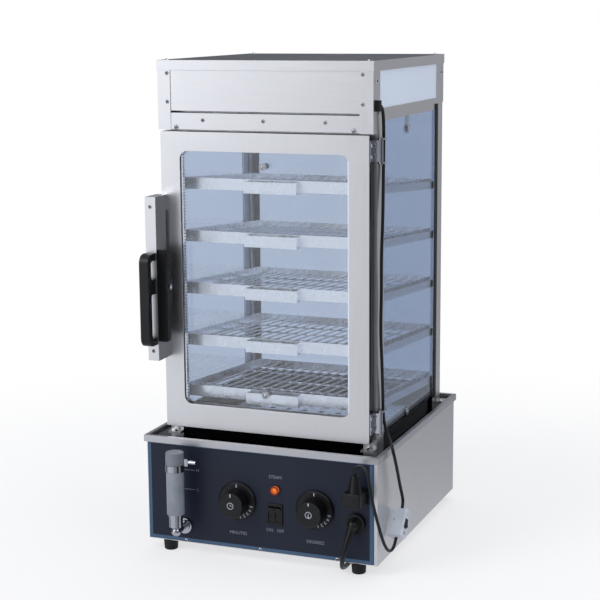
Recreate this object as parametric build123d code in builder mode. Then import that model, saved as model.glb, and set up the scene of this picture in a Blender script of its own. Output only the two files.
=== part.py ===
from build123d import *

import os
from math import asin, atan, cos, degrees, pi, radians, sin, sqrt, tan

os.makedirs("parts", exist_ok=True)

# A bun steamer cabinet. A low water base stands on four rubber feet and carries a
# glazed column with five wire racks, a hinged glass door and a lit head.
# Origin: on the floor, under the middle of the cabinet's box without its cords.
# +X is the user's right, +Y the back, +Z up. All sizes are millimetres.

# Stock and clearances
GAP = 0.3            # between pieces that lie against each other
SEAT = 0.1           # between a flat piece and the face it is screwed to
RUN = 0.05           # radial clearance of a shaft in its bore
CUT = 2.0            # how far a cut runs past a face
SHEET = 1.2          # stainless sheet
ANGLE_T = 1.5        # stainless angle and channel
GLASS_T = 4.0        # toughened glass

# Screws: dome heads that show, on plain shanks
SHANK_R = 2.0
SHANK_L = 7.0
DOME_R = 3.9
DOME_H = 2.3
SCREW_HOLE_R = SHANK_R + GAP

# Base and its rim
RIM_W = 480.0
RIM_D = 518.0
RIM_TOP = 230.5
RIM_FLANGE = 13.0
RIM_LIP = 8.0
RIM_OVERHANG = 4.0
TRAY_DROP = 5.0
FOOT_H = 21.0
FOOT_TOP_R = 14.5
FOOT_FLOOR_R = 13.0
FOOT_BORE_DEPTH = 9.0
FOOT_EDGE_R = 1.5
FOOT_INSET_X = 41.0
FOOT_INSET_Y = 14.0
SHELL_FOLD = 14.0    # inward folds of the base shell

# Water gauge at the front left
GAUGE_STANDOFF = 39.5    # axis in front of the panel
GAUGE_FROM_EDGE = 79.0   # axis from the base's left side
GAUGE_TUBE_R = 17.0
GAUGE_TUBE_WALL = 2.0
GAUGE_TUBE_BOTTOM = 91.5
GAUGE_TUBE_TOP = 189.5
GAUGE_CAP_H = 24.0
GAUGE_CAP_R = 17.6
GAUGE_CAP_EDGE_R = 2.0
GAUGE_SPIGOT_L = 8.0
CLAMP_H = 13.0
CLAMP_BAND = 1.2
CLAMP_BOX_W = 9.0
CLAMP_BOX_RISE = 11.0
CLAMP_BOX_H = 14.0
CLAMP_SCREW_R = 3.6
CLAMP_SCREW_L = 15.0
COLLAR_R = 13.3
COLLAR_LIP_R = 14.3
COLLAR_LIP_H = 5.0
COLLAR_BOTTOM = 66.0
SPIGOT_R = 9.0
NECK_R = 6.0
PIPE_Z = 56.0
PIPE_R = 7.0
ELBOW_R = 9.5
PIPE_NUT_R = 15.5
PIPE_NUT_T = 5.0
PIPE_RING_R = 11.5
PIPE_RING_T = 4.0
PIPE_TAIL_L = 14.0

# The cabinet's box is centred on the origin, so the base sits behind it by half
# of what the gauge stands out in front of the rim.
CLAMP_R = GAUGE_TUBE_R + GAP + CLAMP_BAND
CENTRE_Y = (GAUGE_STANDOFF + CLAMP_R - RIM_OVERHANG) / 2
BASE_W = RIM_W - 2 * RIM_OVERHANG
BASE_D = RIM_D - 2 * RIM_OVERHANG
BASE_FRONT = CENTRE_Y - BASE_D / 2
BASE_REAR = CENTRE_Y + BASE_D / 2
TRAY_TOP = RIM_TOP - TRAY_DROP
SHELL_TOP = TRAY_TOP - SHEET - GAP

# Control panel and what is on it, from the panel's middle and the floor
PANEL_T = 1.5
PANEL_EDGE = 2.0
PANEL_RIGHT_EDGE = 7.5
TIMER_SHARE = 0.3205       # of the way from the water gauge to the cable gland
THERMOSTAT_SHARE = 0.7707
KNOB_Z = 118.0
SKIRT_R = 37.5
SKIRT_T = 6.0
SKIRT_BEVEL = 2.5
SKIRT_OFF = 1.0
HUB_R = 25.5
HUB_TIP_R = 24.5
HUB_L = 29.5
KNOB_SHAFT_R = 3.0
KNOB_SHAFT_IN = 18.0
BUSH_R = 5.0
BUSH_OUT = 0.5
TIMER_BOX_W = 52.0
TIMER_BOX_D = 38.0
THERMOSTAT_BOX_W = 40.0
THERMOSTAT_BOX_D = 30.0
LAMP_SHARE = 0.5413
LAMP_Z = 147.0
LAMP_BEZEL_R = 8.0
LAMP_BEZEL_T = 2.0
LAMP_LENS_R = 6.0
LAMP_LENS_H = 3.0
LAMP_BODY_R = 5.0
LAMP_BODY_L = 24.0
ROCKER_SHARE = 0.5385
ROCKER_Z = 99.5
BEZEL_W = 32.0
BEZEL_H = 42.0
BEZEL_T = 2.5
BEZEL_EDGE_R = 1.2
SWITCH_BOX_W = 28.0
SWITCH_BOX_H = 37.0
SWITCH_BOX_D = 22.0
ROCKER_W = 11.5
ROCKER_HALF_H = 14.2
ROCKER_POCKET_H = 31.2
ROCKER_POCKET_D = 14.0
ROCKER_RIB = 1.6
ROCKER_PIVOT_IN = 3.0
ROCKER_TIP_OUT = 6.6
ROCKER_DIP_OUT = 3.6
ROCKER_BACK = 2.0
ROCKER_BACK_HALF_H = 11.5
ROCKER_TILT = 8.0        # degrees either side of level
SOCKET_FROM_EDGE = 37.0  # axis from the base's right side
SOCKET_Z = 155.0
SOCKET_W = 34.0
SOCKET_H = 28.0
SOCKET_FLANGE = 2.0
SOCKET_FLANGE_T = 6.0
SOCKET_DEPTH = 24.0
GLAND_FROM_EDGE = 42.0   # axis from the base's right side
GLAND_Z = 101.0
GLAND_FLANGE_R = 19.0
GLAND_FLANGE_T = 8.0
GLAND_DOME_R = 14.0
GLAND_NECK_R = 11.5
GLAND_DOME_L = 7.0
GLAND_BALL_R = 11.0
GLAND_BOOT_R = 9.5
GLAND_BOOT_TIP_R = 6.5
GLAND_BOOT_L = 34.0
GLAND_BOOT_OUT = 20.0    # degrees the boot leans away from the panel
GLAND_BOOT_ASIDE = 14.0  # degrees it leans to the left
GLAND_BODY_R = 10.0
GLAND_BODY_L = 16.0
BOTTOM_SCREW_X = 156.0
BOTTOM_SCREW_RISE = 4.4

# Water tank, heater and steam plate
TANK_FROM_POSTS = 22.2   # tank's side inside the posts' inner edges
TANK_D = 300.0
TANK_BOTTOM = 38.0
TANK_FLANGE = 12.0
ELEMENT_RISE = 24.0
ELEMENT_R = 4.0
ELEMENT_HALF_W = 38.0
ELEMENT_L = 215.0
ELEMENT_HEAD_W = 104.0
ELEMENT_HEAD_H = 26.0
ELEMENT_HEAD_T = 5.0
ELEMENT_TAIL = 14.0
PLATE_LAP = 9.0
STEAM_OPENING_EDGE = 16.0
STEAM_HOLE_R = 6.0
STEAM_PITCH = 36.0

# Glazed column
COLUMN_W = 428.0
COLUMN_D = 444.0
COLUMN_BACK_OFF = 7.0    # the column's middle behind the base's middle
POST_SETBACK = 25.0      # front posts behind the head's front
POST_SIDE = 40.0
POST_REAR_SIDE = 53.0
POST_FACE = 18.5
HEAD_Z = 851.0
TOP_RAIL_H = 13.0
RAIL_FLANGE = 14.0
SILL_H = 36.0
LINTEL_H = 56.0
GLASS_FOOT = 18.5        # lower edge of the side glass above the tray
GLASS_BOLT_TOP_DROP = 37.0
GLASS_BOLT_FOOT_RISE = 28.0
HANGER_W = 24.0
HANGER_H = 34.0
GLASS_BOLT_R = 2.5
GLASS_CUP_R = 7.5
GLASS_CUP_T = 1.6
GLASS_BOLT_HEAD_R = 4.2
GLASS_BOLT_HEAD_H = 2.6
GLASS_NUT_R = 5.5
GLASS_NUT_T = 4.0
SEAL_W = 17.0
SEAL_T = 1.6
SEAL_END_GAP = 1.6       # band ends under the post's top
SEAL_FROM_REAR = 36.0
BRACKET_W = 26.0
BRACKET_REACH = 17.0
BRACKET_H = 13.0
BRACKET_T = 2.0

# Door
DOOR_FROM_LEFT = 3.5     # door edge inside the column's left side
DOOR_FROM_RIGHT = 7.5
DOOR_BOTTOM = 242.0
DOOR_TOP = 814.5
DOOR_T = 20.0
DOOR_LID_FOLD = 8.0
GASKET_T = 5.0
GASKET_W = 6.0
GASKET_INSET = 4.0
STILE = 39.5
DOOR_TOP_RAIL = 36.0
DOOR_BOTTOM_RAIL = 47.0
WINDOW_R = 16.0
GLASS_LAP = 12.0
DOOR_BOLT_TOP_DROP = 26.0
DOOR_BOLT_FOOT_RISE = 29.0

# Hinges
HINGE_TOP_Z = 786.0
HINGE_FOOT_Z = 279.0
HINGE_HALF_H = 23.0
HINGE_OUT = 6.5          # pin outside the column's right side
HINGE_FRONT = 2.0        # pin in front of the posts' front face
HINGE_PIN_R = 2.5
HINGE_EYE_R = 5.5
HINGE_KNUCKLE_R = 4.5
HINGE_EAR_T = 3.0
HINGE_LEAF_T = 2.0
HINGE_LEAF_L = 16.0
HINGE_PLAY = 0.5
HINGE_HEAD_R = 3.8
HINGE_HEAD_H = 1.6
HINGE_SCREW_RISE = 10.0

# Handle: a channel on the door's free edge, a grip loop and a squeeze lever
CHANNEL_W = 22.0
CHANNEL_DEPTH = 42.0
CHANNEL_BOTTOM = 381.0
CHANNEL_TOP = 695.0
CHANNEL_OUT = 0.5        # channel's middle outside the door's edge
CHANNEL_OFF = 7.0        # channel's edge in front of the door
SPACER_H = 30.0
SPACER_SCREW_IN = 18.5   # screw from the channel's end
GRIP_W = 18.0
GRIP_OUT = 34.0
GRIP_BAR = 14.0
GRIP_BOTTOM = 413.0
GRIP_TOP = 589.5
GRIP_LEG = 14.0
GRIP_BRIDGE_Z0 = 512.0
GRIP_BRIDGE_Z1 = 540.0
GRIP_R = 17.0
GRIP_SLOT_R = 5.0
LEVER_Z = 522.0          # height of the lever's pin
LEVER_PIN_R = 3.0
LEVER_PIN_HEAD_R = 5.0
LEVER_PIN_HEAD_T = 1.5
LEVER_PIN_IN = 20.0      # pin behind the channel's face
LEVER_HUB_R = 7.0
LEVER_W = 17.0
LEVER_TOP = 593.0
LEVER_BOTTOM = 418.0
LEVER_FRONT = 5.0        # lever's front behind the channel's face
LEVER_THICK = 25.0
LEVER_TIP_THICK = 15.0
LEVER_TOP_SLOPE = 12.0
LEVER_FOOT_SLOPE = 62.0
LEVER_NOTCH_R = 3.2
LEVER_NOTCH_RISES = (24.0, 2.0)
LEVER_EDGE_R = 3.0
HOOK_T = 6.0
HOOK_W = 10.0
HOOK_DROP = 66.0
HOOK_PAD_H = 22.0
KEEPER_H = 30.0
KEEPER_W = 11.0
KEEPER_LAP = 18.0

# Head with its lamp
HEAD_H = 96.3            # cap's top above the posts' plane
CAP_H = 18.2
HEAD_STILE = 26.0
HEAD_FOOT = 817.5
HEAD_FOLD = 13.0
LIGHT_FRONT_STILE = 38.0
LIGHT_REAR_STILE = 48.0
LIGHT_RISE = 10.0
LIGHT_DROP = 18.8
LIGHT_LAP = 5.0
ACRYLIC_T = 3.0
FASCIA_RISE = 2.5
FASCIA_LAP = 12.0
STRIP_BOTTOM = 819.0
STRIP_TOP = 849.5
STRIP_RECESS = 0.8
STRIP_SCREW_X = 122.0
STRIP_SCREW_Z = 836.5
STRIP_BOLT_X = 177.0
STRIP_BOLT_Z = 822.6
STRIP_BOLT_R = 5.0
STRIP_BOLT_H = 3.0
HEAD_SCREW_DROP = 24.3
HEAD_SCREW_RISE = 19.0
HEAD_SCREW_IN = 6.0      # from the stile's inner edge
SIDE_SCREW_IN = 17.0
SIDE_SCREW_DROP = 36.3
CAP_SCREW_IN = 15.0
CAP_VENT_L = 46.0
CAP_VENT_W = 5.0
CAP_VENT_IN = 60.0
TUBE_R = 8.0
TUBE_END_GAP = 34.0      # tube's end inside the head's side
TUBE_DROP = 50.3
TUBE_FROM_REAR = 42.0
HOLDER_W = 12.0
HOLDER_H = 26.0
GROMMET_IN = 15.0
GROMMET_W = 10.0
GROMMET_H = 20.0
GROMMET_OUT = 9.0
GROMMET_RISE = 16.0
GROMMET_EDGE_R = 1.5
GROMMET_TAIL_R = 3.5
GROMMET_TAIL_L = 6.0

# Racks: shallow wire trays that fall towards the back, so that drips run off
RACK_COUNT = 5
RACK_TOP_Z = 316.5       # top of the lowest rack's front strip
RACK_PITCH = 101.9
RACK_FALL = 30.0         # over the rack's depth
RACK_STRIP_H = 22.0
RACK_SIDE_H = 18.0
RACK_T = 1.5
RACK_PLAY = 2.0          # each side, to the posts' faces
RACK_SETBACK = 20.0      # strip behind the posts' front face
RACK_REAR_GAP = 12.0     # rear strip before the rear glass
RACK_WIRE_R = 1.6
RACK_WIRE_RISE = 7.0     # wires above the side strips' lower edge
RACK_WIRES = 18
RACK_CROSS_WIRES = 3
RACK_TAB_W = 107.0
RACK_TAB_OUT = 15.0
RACK_TAB_DROP = 3.0
RUNNER_T = 1.2
RUNNER_SHELF = 20.0
RUNNER_LEG = 14.0
UPRIGHT_W = 18.0

# Cords
LAMP_CORD_D = 6.0
MAINS_CORD_D = 9.0
RUN_SHARE = 0.45         # of the shorter run, taken by an arc's tangent
HALF_SHARE = 0.5
CORD_LEAD = 13.0         # straight run of the lamp's cord at the in-line switch
MAINS_LEAD = 16.0        # straight run of the mains cord out of its boot
FLOOR_GAP = 0.1
COIL_R = 60.0
COIL_TURN_STEP = 10.5
COIL_LAYER_STEP = 9.6
COIL_X = 70.0
COIL_BEHIND = 76.0       # coil's middle behind the rim
COIL_TURNS = 3.25
COIL_REVERSE_TURN = 1.75
COIL_TAIL = 38.0
PLUG_W = 37.0
PLUG_L = 44.0
PLUG_EDGE_R = 5.0
PLUG_BOOT_R = 7.0
PLUG_BOOT_TIP_R = 6.2
PLUG_BOOT_L = 18.0
PLUG_PIN_R = 2.4
PLUG_PIN_L = 19.0
PLUG_PIN_PITCH = 19.0
LAMP_PLUG_W = 36.0
LAMP_PLUG_H = 29.0
LAMP_PLUG_D = 38.0
LAMP_BOOT_IN = 14.0     # boot behind the plug's front
LAMP_PLUG_EDGE_R = 5.0
BOOT_OFF = 4.0           # boot's axis right of the socket's
BOOT_TOP = 202.0
BOOT_TOP_R = 8.0
BOOT_FOOT_R = 14.5
INLINE_X = 256.0
INLINE_Y = -186.5        # from the base's middle
INLINE_Z = 85.5
INLINE_W = 22.0
INLINE_L = 56.0
INLINE_T = 30.0
INLINE_TILT = 38.0       # degrees, its top towards the back
INLINE_TURN = 12.0       # degrees its rocker turns towards the front
INLINE_CORNER_R = 5.0
INLINE_SCREW_R = 2.6
INLINE_SCREW_RISE = 4.0
INLINE_SCREW_IN = 9.0    # from the edge away from the rocker
INLINE_EDGE_R = 2.0
INLINE_POCKET_L = 20.0
INLINE_POCKET_W = 12.0
INLINE_POCKET_D = 7.0
INLINE_ROCKER_L = 15.2
INLINE_ROCKER_T = 5.5
INLINE_ROCKER_OUT = 1.0
INLINE_SWING = 12.0      # degrees either side of level
INLINE_PIVOT_IN = 8.5    # pivot behind the face that the rocker stands in

# Planes that pieces share
RIM_HALF_W = RIM_W / 2
RIM_HALF_D = RIM_D / 2
BASE_HALF_W = BASE_W / 2
SOCKET_X = BASE_HALF_W - SOCKET_FROM_EDGE
GLAND_X = BASE_HALF_W - GLAND_FROM_EDGE
GAUGE_X = GAUGE_FROM_EDGE - BASE_HALF_W
CONTROLS_W = GLAND_X - GAUGE_X
TIMER_X = GAUGE_X + TIMER_SHARE * CONTROLS_W
THERMOSTAT_X = GAUGE_X + THERMOSTAT_SHARE * CONTROLS_W
LAMP_X = GAUGE_X + LAMP_SHARE * CONTROLS_W
ROCKER_X = GAUGE_X + ROCKER_SHARE * CONTROLS_W
BOOT_X = SOCKET_X + BOOT_OFF
PANEL_BACK = BASE_FRONT + PANEL_T
HEAD_HALF_W = COLUMN_W / 2
CAP_TOP = HEAD_Z + HEAD_H
LIGHT_Z0 = HEAD_Z + LIGHT_RISE
LIGHT_Z1 = CAP_TOP - LIGHT_DROP
HEAD_SCREW_HIGH = CAP_TOP - HEAD_SCREW_DROP
HEAD_SCREW_LOW = HEAD_Z + HEAD_SCREW_RISE
SIDE_SCREW_Z = CAP_TOP - SIDE_SCREW_DROP
TUBE_Z = CAP_TOP - TUBE_DROP
TUBE_HALF_L = HEAD_HALF_W - TUBE_END_GAP
GROMMET_Z = HEAD_Z + GROMMET_RISE
FASCIA_FOOT = HEAD_Z + FASCIA_RISE
HEAD_FRONT = CENTRE_Y + COLUMN_BACK_OFF - COLUMN_D / 2
HEAD_REAR = HEAD_FRONT + COLUMN_D
POST_X = HEAD_HALF_W - SHEET - SEAT
POST_FRONT = HEAD_FRONT + POST_SETBACK
POST_REAR = HEAD_REAR - SHEET - SEAT
POST_IN = POST_X - ANGLE_T
POST_TOP = HEAD_Z - GAP
LEG_X = POST_X - POST_FACE
TANK_W = 2 * (LEG_X - TANK_FROM_POSTS)
GLASS_X1 = POST_IN - GAP
GLASS_X0 = GLASS_X1 - GLASS_T
GLASS_Y0 = POST_FRONT + ANGLE_T + GAP
GLASS_Y3 = POST_REAR - ANGLE_T - GAP
GLASS_Y2 = GLASS_Y3 - GLASS_T
GLASS_Y1 = GLASS_Y2 - GAP
GLASS_Z0 = TRAY_TOP + GLASS_FOOT
GLASS_Z1 = POST_TOP - ANGLE_T - GAP
SILL_TOP = TRAY_TOP + SILL_H
FRAME_X = GLASS_X0 - GAP
FRAME_Y = GLASS_Y2 - GAP
DOOR_X0 = DOOR_FROM_LEFT - HEAD_HALF_W
DOOR_X1 = HEAD_HALF_W - DOOR_FROM_RIGHT
DOOR_BACK = POST_FRONT - GAP - GASKET_T - SEAT
DOOR_FRONT = DOOR_BACK - DOOR_T
CAP_UNDER = CAP_TOP - SHEET
CAP_SKIRT = CAP_TOP - CAP_H
SIDES = (-1, 1)


def block(x0, x1, y0, y1, z0, z1, mode=Mode.ADD):
    """Add or cut a box between six faces, in the part being made."""
    with Locations(((x0 + x1) / 2, (y0 + y1) / 2, (z0 + z1) / 2)):
        Box(x1 - x0, y1 - y0, z1 - z0, mode=mode)


def centred_block(half_w, half_d, z0, z1, mode=Mode.ADD):
    """Add or cut a box that lies evenly about the middle of the base."""
    block(-half_w, half_w, CENTRE_Y - half_d, CENTRE_Y + half_d, z0, z1, mode)


def rod(point, direction, radius, length, mode=Mode.ADD):
    """Add or cut a cylinder that starts at a point and runs along a direction."""
    with Locations(Plane(origin=point, z_dir=direction)):
        Cylinder(radius, length, align=(Align.CENTER, Align.CENTER, Align.MIN), mode=mode)


def taper(point, direction, radius, tip_radius, length):
    """Add a cone that starts at a point and runs along a direction."""
    with Locations(Plane(origin=point, z_dir=direction)):
        Cone(radius, tip_radius, length, align=(Align.CENTER, Align.CENTER, Align.MIN))


def dome(point, direction, radius, height):
    """Add a shallow round head that stands on a point."""
    ball_r = (radius**2 + height**2) / (2 * height)
    low = degrees(asin((ball_r - height) / ball_r))
    with Locations(Plane(origin=point, z_dir=direction)):
        Sphere(ball_r, arc_size1=low, align=(Align.CENTER, Align.CENTER, Align.MIN))


def along(point, direction, distance):
    """The point that lies a distance from another along a direction."""
    return tuple(p + d * distance for p, d in zip(point, direction))


def screw(point, direction, length=SHANK_L, head_r=DOME_R, head_h=DOME_H):
    """Add a dome-head screw whose head stands on a face; direction is outward."""
    dome(point, direction, head_r, head_h)
    rod(point, tuple(-d for d in direction), SHANK_R, length)


def bore(point, direction, radius=SCREW_HOLE_R):
    """Cut the hole that a screw on a face needs in what lies under its head."""
    inward = tuple(-d for d in direction)
    rod(along(point, direction, CUT), inward, radius, SHANK_L + 2 * CUT, Mode.SUBTRACT)


def keep(made, name):
    """Label a finished piece and write it."""
    made.part.label = name
    export_step(made.part, f"parts/{name}.step")


# Feet
FOOT_PLACES = [
    (sx * (BASE_HALF_W - FOOT_INSET_X), CENTRE_Y + sy * (BASE_D / 2 - FOOT_INSET_Y))
    for sx in SIDES
    for sy in SIDES
]
with BuildPart() as feet:
    with BuildSketch(Plane.XY):
        with Locations(*FOOT_PLACES):
            Circle(FOOT_FLOOR_R)
    extrude(amount=FOOT_H - SEAT, taper=-degrees(atan((FOOT_TOP_R - FOOT_FLOOR_R) / FOOT_H)))
    chamfer(feet.faces().group_by(Axis.Z)[0].edges(), FOOT_EDGE_R)
    for foot_x, foot_y in FOOT_PLACES:
        rod((foot_x, foot_y, FOOT_H), (0, 0, -1), SCREW_HOLE_R, FOOT_BORE_DEPTH, Mode.SUBTRACT)
keep(feet, "feet")

FOOT_SCREWS = [((x, y, FOOT_H + SHEET), (0, 0, 1)) for x, y in FOOT_PLACES]

# Base shell: floor, sides and back, with inward folds at the front and the top
with BuildPart() as base_shell:
    shell_y0 = PANEL_BACK + SEAT
    block(-BASE_HALF_W, BASE_HALF_W, shell_y0, BASE_REAR, FOOT_H, SHELL_TOP)
    block(
        SHEET - BASE_HALF_W, BASE_HALF_W - SHEET,
        shell_y0 + SHEET, BASE_REAR - SHEET,
        FOOT_H + SHEET, SHELL_TOP - SHEET, Mode.SUBTRACT,
    )
    fold_x = BASE_HALF_W - SHELL_FOLD
    block(
        -fold_x, fold_x, shell_y0 - CUT, shell_y0 + SHEET + CUT,
        FOOT_H + SHELL_FOLD, SHELL_TOP - SHELL_FOLD, Mode.SUBTRACT,
    )
    block(
        -fold_x, fold_x, shell_y0 + SHELL_FOLD, BASE_REAR - SHELL_FOLD,
        SHELL_TOP - SHEET - CUT, SHELL_TOP + CUT, Mode.SUBTRACT,
    )
    for place in FOOT_SCREWS:
        bore(*place)

# Control panel: a plate that closes the front
PANEL_SCREWS = [
    ((x, BASE_FRONT, FOOT_H + BOTTOM_SCREW_RISE), (0, -1, 0))
    for x in (-BOTTOM_SCREW_X, 0, BOTTOM_SCREW_X)
]
GAUGE_Y = BASE_FRONT - GAUGE_STANDOFF
with BuildPart() as control_panel:
    block(
        PANEL_EDGE - BASE_HALF_W, BASE_HALF_W - PANEL_RIGHT_EDGE, BASE_FRONT, PANEL_BACK,
        FOOT_H + PANEL_EDGE, SHELL_TOP - PANEL_EDGE,
    )
    front_hole = (0, 1, 0)
    for knob_x in (TIMER_X, THERMOSTAT_X):
        rod((knob_x, BASE_FRONT - CUT, KNOB_Z), front_hole, BUSH_R + GAP, PANEL_T + 2 * CUT, Mode.SUBTRACT)
    rod((LAMP_X, BASE_FRONT - CUT, LAMP_Z), front_hole, LAMP_BODY_R + GAP, PANEL_T + 2 * CUT, Mode.SUBTRACT)
    rod(
        (GLAND_X, BASE_FRONT - CUT, GLAND_Z), front_hole,
        GLAND_BODY_R + GAP, PANEL_T + 2 * CUT, Mode.SUBTRACT,
    )
    rod((GAUGE_X, BASE_FRONT - CUT, PIPE_Z), front_hole, PIPE_R + GAP, PANEL_T + 2 * CUT, Mode.SUBTRACT)
    for box_x, box_z, box_w, box_h in (
        (ROCKER_X, ROCKER_Z, SWITCH_BOX_W, SWITCH_BOX_H),
        (SOCKET_X, SOCKET_Z, SOCKET_W, SOCKET_H),
    ):
        block(
            box_x - box_w / 2 - GAP, box_x + box_w / 2 + GAP, BASE_FRONT - CUT, PANEL_BACK + CUT,
            box_z - box_h / 2 - GAP, box_z + box_h / 2 + GAP, Mode.SUBTRACT,
        )
    for place in PANEL_SCREWS:
        bore(*place)
keep(control_panel, "control_panel")


# Top tray: a recessed deck inside a hollow rim, with the opening that lets the steam up
OPENING_HALF_W = TANK_W / 2 - STEAM_OPENING_EDGE
OPENING_HALF_D = TANK_D / 2 - STEAM_OPENING_EDGE
BRACKETS = []
for side in SIDES:
    BRACKETS.append((side * (POST_X - BRACKET_W / 2), POST_FRONT - SEAT, 0, -1))
    BRACKETS.append((side * (POST_X + SEAT), POST_REAR - POST_SIDE / 2, side, 0))
BRACKET_SCREWS = [
    ((x + dx * BRACKET_REACH / 2, y + dy * BRACKET_REACH / 2, TRAY_TOP + SEAT + BRACKET_T), (0, 0, 1))
    for x, y, dx, dy in BRACKETS
]
with BuildPart() as top_tray:
    deck_x = RIM_HALF_W - RIM_LIP
    deck_y = RIM_HALF_D - RIM_LIP
    rim_z0 = RIM_TOP - RIM_FLANGE
    centred_block(RIM_HALF_W, RIM_HALF_D, rim_z0, RIM_TOP)
    centred_block(RIM_HALF_W - SHEET, RIM_HALF_D - SHEET, rim_z0 - CUT, RIM_TOP - SHEET, Mode.SUBTRACT)
    centred_block(deck_x + SHEET, deck_y + SHEET, TRAY_TOP - SHEET, RIM_TOP)
    centred_block(deck_x, deck_y, TRAY_TOP, RIM_TOP + CUT, Mode.SUBTRACT)
    centred_block(OPENING_HALF_W, OPENING_HALF_D, TRAY_TOP - SHEET - CUT, TRAY_TOP + CUT, Mode.SUBTRACT)
    for place in BRACKET_SCREWS:
        bore(*place)
keep(top_tray, "top_tray")

with base_shell:
    for place in PANEL_SCREWS + BRACKET_SCREWS:
        bore(*place)
keep(base_shell, "base_shell")

# Water tank: an open tub whose flange lies up against the tray
TANK_TOP = TRAY_TOP - SHEET - GAP
with BuildPart() as water_tank:
    centred_block(TANK_W / 2 + TANK_FLANGE, TANK_D / 2 + TANK_FLANGE, TANK_TOP - SHEET, TANK_TOP)
    centred_block(TANK_W / 2, TANK_D / 2, TANK_BOTTOM, TANK_TOP)
    centred_block(TANK_W / 2 - SHEET, TANK_D / 2 - SHEET, TANK_BOTTOM + SHEET, TANK_TOP + CUT, Mode.SUBTRACT)
    element_z = TANK_BOTTOM + ELEMENT_RISE
    tank_y0 = CENTRE_Y - TANK_D / 2
    for side in SIDES:
        rod(
            (side * ELEMENT_HALF_W, tank_y0 - CUT, element_z), (0, 1, 0),
            ELEMENT_R + GAP, SHEET + 2 * CUT, Mode.SUBTRACT,
        )
keep(water_tank, "water_tank")

# Heating element: a U of tube on a flange outside the tank's front wall
with BuildPart() as heating_element:
    head_back = tank_y0 - GAP
    block(
        -ELEMENT_HEAD_W / 2, ELEMENT_HEAD_W / 2, head_back - ELEMENT_HEAD_T, head_back,
        element_z - ELEMENT_HEAD_H / 2, element_z + ELEMENT_HEAD_H / 2,
    )
    tail_y = head_back - ELEMENT_HEAD_T - ELEMENT_TAIL
    bend_y = tank_y0 + ELEMENT_L
    with BuildLine() as element_path:
        Line((-ELEMENT_HALF_W, tail_y, element_z), (-ELEMENT_HALF_W, bend_y, element_z))
        ThreePointArc(
            (-ELEMENT_HALF_W, bend_y, element_z),
            (0, bend_y + ELEMENT_HALF_W, element_z),
            (ELEMENT_HALF_W, bend_y, element_z),
        )
        Line((ELEMENT_HALF_W, bend_y, element_z), (ELEMENT_HALF_W, tail_y, element_z))
    with BuildSketch(Plane(origin=(-ELEMENT_HALF_W, tail_y, element_z), z_dir=(0, 1, 0))):
        Circle(ELEMENT_R)
    sweep(path=element_path.wires()[0])
keep(heating_element, "heating_element")

# Steam plate: a perforated plate with turned-down edges over the opening
with BuildPart() as steam_plate:
    plate_z0 = TRAY_TOP + SEAT
    plate_x = OPENING_HALF_W + PLATE_LAP
    plate_y = OPENING_HALF_D + PLATE_LAP
    centred_block(plate_x, plate_y, plate_z0, plate_z0 + SHEET)
    columns = int(2 * OPENING_HALF_W / STEAM_PITCH)
    rows = int(2 * OPENING_HALF_D / STEAM_PITCH)
    with BuildSketch(Plane.XY.offset(plate_z0 + SHEET + CUT)):
        with Locations((0, CENTRE_Y)):
            with GridLocations(STEAM_PITCH, STEAM_PITCH, columns, rows):
                Circle(STEAM_HOLE_R)
    extrude(amount=-SHEET - 2 * CUT, mode=Mode.SUBTRACT)
keep(steam_plate, "steam_plate")

# Timer and thermostat bodies behind the panel, each with a bush through it
for name, control_x, control_w, control_d in (
    ("timer_body", TIMER_X, TIMER_BOX_W, TIMER_BOX_D),
    ("thermostat_body", THERMOSTAT_X, THERMOSTAT_BOX_W, THERMOSTAT_BOX_D),
):
    with BuildPart() as control_body:
        body_y0 = PANEL_BACK + SEAT
        block(
            control_x - control_w / 2, control_x + control_w / 2, body_y0, body_y0 + control_d,
            KNOB_Z - control_w / 2, KNOB_Z + control_w / 2,
        )
        bush_y = BASE_FRONT - BUSH_OUT
        rod((control_x, bush_y, KNOB_Z), (0, 1, 0), BUSH_R, body_y0 - bush_y)
        rod(
            (control_x, bush_y - CUT, KNOB_Z), (0, 1, 0),
            KNOB_SHAFT_R + RUN, KNOB_SHAFT_IN + 2 * CUT, Mode.SUBTRACT,
        )
    keep(control_body, name)

# Knobs: a skirt, a hub and a shaft turned as one
for name, control_x in (("timer_knob", TIMER_X), ("thermostat_knob", THERMOSTAT_X)):
    with BuildPart() as knob:
        skirt_y = BASE_FRONT - SKIRT_OFF
        front_y = skirt_y - SKIRT_T
        with BuildSketch(Plane(origin=(control_x, 0, KNOB_Z), x_dir=(1, 0, 0), z_dir=(0, 0, 1))):
            with BuildLine():
                Polyline(
                    (0, skirt_y + KNOB_SHAFT_IN),
                    (KNOB_SHAFT_R, skirt_y + KNOB_SHAFT_IN),
                    (KNOB_SHAFT_R, skirt_y),
                    (SKIRT_R, skirt_y),
                    (SKIRT_R, front_y + SKIRT_BEVEL),
                    (SKIRT_R - SKIRT_BEVEL, front_y),
                    (HUB_R, front_y),
                    (HUB_TIP_R, front_y - HUB_L + SKIRT_BEVEL / 2),
                    (HUB_TIP_R - SKIRT_BEVEL / 2, front_y - HUB_L),
                    (0, front_y - HUB_L),
                    close=True,
                )
            make_face()
        revolve(axis=Axis((control_x, 0, KNOB_Z), (0, 1, 0)))
    keep(knob, name)

# Pilot lamp
with BuildPart() as indicator_lamp:
    rod((LAMP_X, BASE_FRONT - SEAT, LAMP_Z), (0, -1, 0), LAMP_BEZEL_R, LAMP_BEZEL_T)
    dome((LAMP_X, BASE_FRONT - SEAT - LAMP_BEZEL_T, LAMP_Z), (0, -1, 0), LAMP_LENS_R, LAMP_LENS_H)
    rod((LAMP_X, BASE_FRONT - SEAT, LAMP_Z), (0, 1, 0), LAMP_BODY_R, LAMP_BODY_L)
keep(indicator_lamp, "indicator_lamp")

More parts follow.
